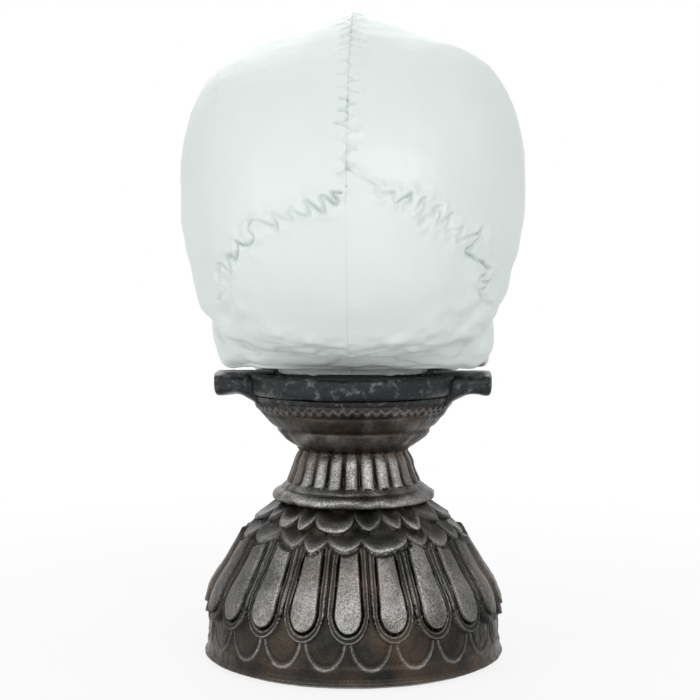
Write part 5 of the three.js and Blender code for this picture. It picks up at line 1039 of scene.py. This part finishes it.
def pedestal_half(side):
    """One half shell: a closed outline turned through half a circle about the axis."""
    theta = np.linspace(0, math.pi, COLUMNS + 1) * side
    top = PEDESTAL_HEIGHT
    rows, rubs = [], []
    for height in np.arange(FOOT_LIFT, top - RIM_HEIGHT + 0.2, ROW_STEP):
        z = np.full(len(theta), height)
        relief, rub_and_highlight = pedestal_relief(theta, z)
        r = pedestal_radius(z) + relief
        r = r + cast_skin(turned(r, theta, z))
        rows.append(turned(r, theta, z))
        rubs.append(rub_and_highlight)
    outside, inside = rim_and_dish(), inner_rows()
    for number, (radius, height) in enumerate(outside + inside):
        r, z = np.full(len(theta), radius), np.full(len(theta), height)
        if number < len(outside) - 10:
            p = turned(r, theta, z)
            r = r + cast_skin(p, 0.9) + 0.6 * lattice_noise(p, 8, 22) * (z < top - 0.5)
            z = z + np.where(z > top - 0.5, np.minimum(0, cast_skin(p, 0.6)), 0)
        rows.append(turned(r, theta, z))
        rubs.append(np.full(len(theta), PLAIN_RUB))
    points = np.concatenate(rows)
    index = np.arange(len(points)).reshape(len(rows), len(theta))
    above = np.roll(index, -1, axis=0)
    quads = np.stack([index[:, :-1], index[:, 1:], above[:, 1:], above[:, :-1]], axis=-1).reshape(-1, 4)
    ends = [index[:, 0].tolist(), index[::-1, -1].tolist()]
    gap = SEAM * side
    points[:, 1] = np.where(np.abs(points[:, 1]) < SEAM, gap, points[:, 1])
    if side < 0:
        quads = quads[:, ::-1]
        ends = [end[::-1] for end in ends]
    return points, quads, ends, np.concatenate(rubs)


# Lugs: rows of reach from the axis, width as a share and depth
LUG_ROWS = [
    (36, 0.92, 22), (40.3, 0.96, 18.6), (43.6, 1.0, 13.4), (47, 1.0, 11.2), (50, 0.99, 10), (53, 0.97, 9.6),
    (56, 0.95, 9.8), (58.4, 0.93, 10.2), (60.2, 0.9, 10.1), (61.2, 0.86, 9), (61.6, 0.78, 7),
]
LUG_AROUND, LUG_SECTIONS = 40, 46


def lug_half(side, end):
    """Half of the lug at one end of the rim: a shelf with a rolled tip and a filleted root."""
    turn = np.linspace(-math.pi / 2, math.pi / 2, LUG_AROUND)
    c, s = np.cos(turn), np.sin(turn)
    points = []
    for r, w, d in zip(*tracks(LUG_ROWS, np.linspace(0, len(LUG_ROWS) - 1, LUG_SECTIONS))):
        y = np.abs(c) ** 0.45 * LUG_WIDTH / 2 * w
        z = PEDESTAL_HEIGHT - 0.1 - d / 2 + np.sign(s) * np.abs(s) ** 0.55 * d / 2
        p = np.column_stack([np.full(LUG_AROUND, end * r), side * y, z])
        noise = cast_skin(p, 1.1) + 0.45 * lattice_noise(p, 8, 23)
        p[:, 2] += np.where(s > 0.8, np.minimum(0, noise), noise)
        p[:, 1] += side * noise * (c > 0.4)
        p[0, 1] = p[-1, 1] = side * SEAM
        points.append(p)
    points = np.concatenate(points)
    index = np.arange(len(points)).reshape(LUG_SECTIONS, LUG_AROUND)
    quads = np.stack([index[:-1, :-1], index[1:, :-1], index[1:, 1:], index[:-1, 1:]], -1).reshape(-1, 4)
    seam = np.concatenate([index[:, 0], index[::-1, -1]]).tolist()
    caps = [index[0].tolist(), index[-1][::-1].tolist(), seam[::-1]]
    if side * end < 0:
        quads = quads[:, ::-1]
        caps = [cap[::-1] for cap in caps]
    return points, quads, caps, np.full(len(points), PLAIN_RUB)


def pedestal():
    """Both halves of the pedestal, each with its halves of the lugs."""
    pieces = []
    for side, name in ((-1, "front"), (1, "rear")):
        points, quads, outlines, rubs = [], [], [], []
        offset = 0
        for p, q, ends, rub_and_highlight in (pedestal_half(side), lug_half(side, 1), lug_half(side, -1)):
            points.append(p)
            quads.append(q + offset)
            outlines += [[i + offset for i in outline] for outline in ends]
            rubs.append(rub_and_highlight)
            offset += len(p)
        piece = add_mesh(
            "pedestal_" + name, np.concatenate(points), np.concatenate(quads), outlines, "base",
            {"rub_and_highlight": np.concatenate(rubs)}, sharp=70)
        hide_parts("pedestal_" + name + "_shell")
        pieces.append(piece)
    return pieces


# Materials
def material(name):
    """A new material with its node tree and its main shader."""
    made = bpy.data.materials.new(name)
    made.use_nodes = True
    return made, made.node_tree, made.node_tree.nodes["Principled BSDF"]


def join(tree, kind, sockets, output=0, **settings):
    """A new node with numbers, colours or other nodes' outputs on its sockets. Gives an output."""
    made = tree.nodes.new(kind)
    for key, value in settings.items():
        setattr(made, key, value)
    for socket, value in sockets.items():
        if hasattr(value, "links"):
            tree.links.new(value, made.inputs[socket])
        else:
            made.inputs[socket].default_value = (*value, 1) if isinstance(value, tuple) else value
    return made.outputs[output]


def noise(tree, scale, detail=4.0, rough=0.55):
    """Noise that stays with the object. The scale is in waves to the metre."""
    place = join(tree, "ShaderNodeTexCoord", {}, "Object")
    sockets = {"Vector": place, "Scale": scale, "Detail": detail, "Roughness": rough}
    return join(tree, "ShaderNodeTexNoise", sockets, "Fac")


def ramp(tree, source, low, first, high, last):
    """A colour for each value: the first up to low, the last from high on, and a blend between."""
    made = tree.nodes.new("ShaderNodeValToRGB")
    for element, place, colour in zip(made.color_ramp.elements, (low, high), (first, last)):
        element.position = place
        element.color = (*colour, 1)
    tree.links.new(source, made.inputs["Fac"])
    return made.outputs["Color"]


def mix(tree, factor, first, second):
    """The first colour at a factor of 0 and the second at 1."""
    return join(tree, "ShaderNodeMix", {0: factor, 6: first, 7: second}, 2, data_type="RGBA")


def maths(tree, operation, first, second=0.0):
    """The result of an operation on one or two values."""
    return join(tree, "ShaderNodeMath", {0: first, 1: second}, operation=operation)


def times(tree, first, second):
    return maths(tree, "MULTIPLY", first, second)


def bump(tree, shader, height, strength, distance):
    """Gives the shader a fine relief that follows the height."""
    sockets = {"Strength": strength, "Distance": distance, "Height": height}
    tree.links.new(join(tree, "ShaderNodeBump", sockets), shader.inputs["Normal"])


def spread(tree, value, low, high, first, last):
    """The value read from the range low to high onto the range first to last, smoothly."""
    sockets = {0: value, 1: low, 2: high, 3: first, 4: last}
    return join(tree, "ShaderNodeMapRange", sockets, interpolation_type="SMOOTHSTEP")


def marked(tree, name):
    """What the points of a mesh carry under a name."""
    return join(tree, "ShaderNodeAttribute", {}, "Fac", attribute_name=name)


def place_of(tree):
    """Across, along and up in metres, in the object's own frame."""
    coords = join(tree, "ShaderNodeTexCoord", {}, "Object")
    parts = tree.nodes.new("ShaderNodeSeparateXYZ")
    tree.links.new(coords, parts.inputs[0])
    return parts.outputs


# Looks of the shells. Heights and widths in them are in metres
BONE_SHADE, BONE_LIGHT = (0.775, 0.835, 0.8), (0.82, 0.87, 0.845)
# The first colour is painted shade for the grooves, the second the glued seam's
GROOVE_SHADE_COLOUR, SEAM_COLOUR = (0.42, 0.47, 0.45), (0.3, 0.32, 0.31)
DARK_BRONZE, BROWN_STAIN, SILVER = (0.011, 0.0105, 0.0095), (0.05, 0.033, 0.021), (0.46, 0.452, 0.436)
CHARCOAL, PAINTED_GLINT = (0.024, 0.026, 0.0275), (0.3, 0.32, 0.33)
SEAM_TOP_FROM, SEAM_TOP_TO = 0.196, 0.212
CHARCOAL_FROM, CHARCOAL_TO = 0.1215, 0.1275


def bone_material():
    """Pale plastic, darkened in its grooves by painted shade, and a little darker at the glued seam."""
    made, tree, shader = material("bone_plastic")
    soft, grain, cloud = noise(tree, 16, 3), noise(tree, 900, 2), noise(tree, 55, 4)
    base = ramp(tree, soft, 0.3, BONE_SHADE, 0.7, BONE_LIGHT)
    # Painted shade: the colour darkens where the line value marks a groove
    colour = mix(tree, times(tree, marked(tree, "line"), 0.22), base, GROOVE_SHADE_COLOUR)
    across, _, up = place_of(tree)
    beside = spread(tree, maths(tree, "ABSOLUTE", across), 0.0001, 0.0004, 1, 0)
    seam = times(tree, beside, spread(tree, up, SEAM_TOP_FROM, SEAM_TOP_TO, 0.03, 0.15))
    colour = mix(tree, seam, colour, SEAM_COLOUR)
    tree.links.new(colour, shader.inputs["Base Color"])
    rough = ramp(tree, cloud, 0.3, (0.32,) * 3, 0.7, (0.43,) * 3)
    tree.links.new(rough, shader.inputs["Roughness"])
    shader.inputs["Specular IOR Level"].default_value = 0.4
    bump(tree, shader, maths(tree, "ADD", times(tree, grain, 0.2), cloud), 0.3, 0.0006)
    return made


def bronze_material():
    """Charcoal at the rim with painted glints, and gunmetal with brown stains and grainy rubbed silver and
    painted highlights below it.
    """
    made, tree, shader = material("rubbed_and_highlit_bronze")
    rub_and_highlight = marked(tree, "rub_and_highlight")
    patch, grain, stain = noise(tree, 60, 5), noise(tree, 1500, 2, 0.75), noise(tree, 34, 4)
    up = place_of(tree)[2]
    uneven_up = maths(tree, "ADD", up, times(tree, stain, 0.016))
    rim = spread(tree, uneven_up, CHARCOAL_FROM, CHARCOAL_TO, 0, 1)
    # Rubbed silver and painted highlights, spread over grainy patches
    wear_and_highlight = times(tree, rub_and_highlight, spread(tree, patch, 0.3, 0.62, 0.45, 1.15))
    silver = times(tree, wear_and_highlight, spread(tree, grain, 0.38, 0.62, 0.35, 1))
    brown = ramp(tree, stain, 0.42, DARK_BRONZE, 0.64, BROWN_STAIN)
    low = mix(tree, silver, brown, SILVER)
    # Painted highlight: glints scattered over the charcoal rim
    glint_spots = noise(tree, 240, 5, 0.7)
    charcoal = mix(tree, spread(tree, glint_spots, 0.5, 0.8, 0, 0.6), CHARCOAL, PAINTED_GLINT)
    tree.links.new(mix(tree, rim, low, charcoal), shader.inputs["Base Color"])
    shader.inputs["Metallic"].default_value = 0.85
    tree.links.new(spread(tree, patch, 0.3, 0.7, 0.22, 0.4), shader.inputs["Roughness"])
    bump(tree, shader, maths(tree, "ADD", grain, times(tree, patch, 2)), 0.55, 0.0005)
    return made


def plain_material(name, colour, rough, metal=0.0, drift=0.12, scale=300.0, strength=0.2):
    """A moulded or plated finish: its colour drifts a little, with a fine grain."""
    made, tree, shader = material(name)
    cloud, fine = noise(tree, 60, 4), noise(tree, scale, 3)
    dark = tuple(c * (1 - drift) for c in colour)
    light = tuple(min(1, c * (1 + drift)) for c in colour)
    tree.links.new(ramp(tree, cloud, 0.3, dark, 0.7, light), shader.inputs["Base Color"])
    level = ramp(tree, fine, 0.3, (rough * 0.85,) * 3, 0.7, (min(1, rough * 1.15),) * 3)
    tree.links.new(level, shader.inputs["Roughness"])
    shader.inputs["Metallic"].default_value = metal
    bump(tree, shader, fine, strength, 0.0002)
    return made


def dress(slot, made):
    """Gives a material to every carried-over node of a slot."""
    for entry in frame["record"]["subparts"]:
        if entry["material_slot"] == slot:
            piece = frame["nodes"][entry["node"]]
            piece.data.materials.clear()
            piece.data.materials.append(made)


bone = bone_material()
bronze = bronze_material()
LOOKS = {
    "bone": bone,
    "bronze": bronze,
    "black": plain_material("black_plastic", (0.03, 0.031, 0.034), 0.5),
    "rubber": plain_material("rubber_foot", (0.028, 0.028, 0.028), 0.85, drift=0.2, strength=0.4),
    "steel": plain_material("plated_steel", (0.55, 0.56, 0.57), 0.32, metal=1.0, scale=500),
    "acetal": plain_material("gear_plastic", (0.8, 0.79, 0.73), 0.42, drift=0.04),
    "board": plain_material("board_green", (0.03, 0.16, 0.07), 0.4),
    "battery": plain_material("cell_sleeve", (0.05, 0.1, 0.24), 0.3, metal=0.3, drift=0.06),
    "lens": plain_material("lamp_epoxy", (0.78, 0.77, 0.72), 0.15, drift=0.03),
    "wire": plain_material("wire_sleeve", (0.3, 0.03, 0.03), 0.45),
}
for slot_name, look in LOOKS.items():
    dress(slot_name, look)

for half in (1, -1):
    skull_half(half).data.materials.append(bone)
mandible().data.materials.append(bone)
upper = tooth_row("upper_teeth", UPPER_ARCH_Y, UPPER_GUM + ROOT_LENGTH, BITE_Z, "base")
lower = tooth_row("lower_teeth", LOWER_ARCH_Y, LOWER_GUM - ROOT_LENGTH, BITE_Z - BITE_GAP, "jaw")
for row in (upper, lower):
    row.data.materials.append(bone)
for shell in pedestal():
    shell.data.materials.append(bronze)


# Stage, light and camera. Places are in metres, but the camera's and its aim's in millimetres
FLOOR_SIZE = 3.0
NEAR, FAR = 0.1, 0.5
NEAR_WHITE, FAR_WHITE = 0.85, 1.0
CAMERA_DISTANCE, CAMERA_HEIGHT, CAMERA_TURN = 731.0, 185.0, 2.0
AIM_X, AIM_Z = 1.6, 138.0
LENS, SENSOR = 83.6, 36
# Names, places, aims, sizes and powers
LIGHTS = [
    ("key", (-0.55, 1.3, 0.95), (0, 0, 0.18), 0.8, 7.6),
    ("fill", (1.1, 1.0, 0.45), (0, 0, 0.15), 0.8, 4.8),
    ("front", (0.2, -1.2, 1.0), (0, 0, 0.15), 1.0, 5),
    ("top", (0, 0.1, 1.6), (0, 0, 0.1), 1.0, 1.3),
]


def seen_rays(tree):
    """One for the rays that show the background: from the camera, off gloss and through glass."""
    path = tree.nodes.new("ShaderNodeLightPath")
    seen = maths(tree, "MAXIMUM", path.outputs["Is Camera Ray"], path.outputs["Is Glossy Ray"])
    return maths(tree, "MAXIMUM", seen, path.outputs["Is Transmission Ray"])


def choose(tree, factor, first, second, output):
    """Shows one shader or another by the factor."""
    shown = join(tree, "ShaderNodeMixShader", {"Fac": factor, 1: first, 2: second})
    tree.links.new(shown, tree.nodes[output].inputs["Surface"])


def stage():
    """A pale floor that keeps the shadow near the object and turns white away from it."""
    size = FLOOR_SIZE
    corners = [(-size, -size, 0), (size, -size, 0), (size, size, 0), (-size, size, 0)]
    mesh = bpy.data.meshes.new("floor")
    mesh.from_pydata(corners, [], [(0, 1, 2, 3)])
    floor = bpy.data.objects.new("floor", mesh)
    bpy.context.scene.collection.objects.link(floor)
    made, tree, shader = material("floor_white")
    shader.inputs["Base Color"].default_value = (0.9, 0.9, 0.9, 1)
    shader.inputs["Roughness"].default_value = 0.9
    glow = join(tree, "ShaderNodeEmission", {"Color": (1, 1, 1), "Strength": 1.0})
    across, along, _ = place_of(tree)
    square = maths(tree, "ADD", maths(tree, "POWER", across, 2), maths(tree, "POWER", along, 2))
    white = spread(tree, maths(tree, "SQRT", square), NEAR, FAR, NEAR_WHITE, FAR_WHITE)
    choose(tree, times(tree, seen_rays(tree), white), shader.outputs[0], glow, "Material Output")
    floor.data.materials.append(made)


def area_light(name, place, aim, size, power):
    """A square lamp that faces its aim."""
    data = bpy.data.lights.new(name, "AREA")
    data.energy = power
    data.shape = "RECTANGLE"
    data.size = data.size_y = size
    lamp = bpy.data.objects.new(name, data)
    lamp.location = place
    lamp.rotation_euler = (Vector(aim) - Vector(place)).to_track_quat("-Z", "Y").to_euler()
    bpy.context.scene.collection.objects.link(lamp)


def world():
    """Soft light from all round, and white for the rays that show the background."""
    made = bpy.data.worlds.new("studio")
    bpy.context.scene.world = made
    made.use_nodes = True
    tree = made.node_tree
    background = tree.nodes["Background"]
    background.inputs["Color"].default_value = (0.9, 0.92, 0.93, 1)
    background.inputs["Strength"].default_value = 0.5
    white = join(tree, "ShaderNodeBackground", {"Color": (1, 1, 1), "Strength": 1.0})
    choose(tree, seen_rays(tree), background.outputs[0], white, "World Output")


stage()
world()
for light in LIGHTS:
    area_light(*light)
turn = math.radians(CAMERA_TURN)
across, behind = math.sin(turn) * CAMERA_DISTANCE, math.cos(turn) * CAMERA_DISTANCE
eye = Vector((-across, behind + AXIS_Y, CAMERA_HEIGHT)) * MM
aim = Vector((AIM_X, AXIS_Y, AIM_Z)) * MM
camera = bpy.data.objects.new("camera", bpy.data.cameras.new("camera"))
camera.data.lens = LENS
camera.data.sensor_width = SENSOR
camera.location = eye
camera.rotation_euler = (aim - eye).to_track_quat("-Z", "Y").to_euler()
bpy.context.scene.collection.objects.link(camera)
bpy.context.scene.camera = camera
bpy.context.scene.view_settings.view_transform = "Standard"
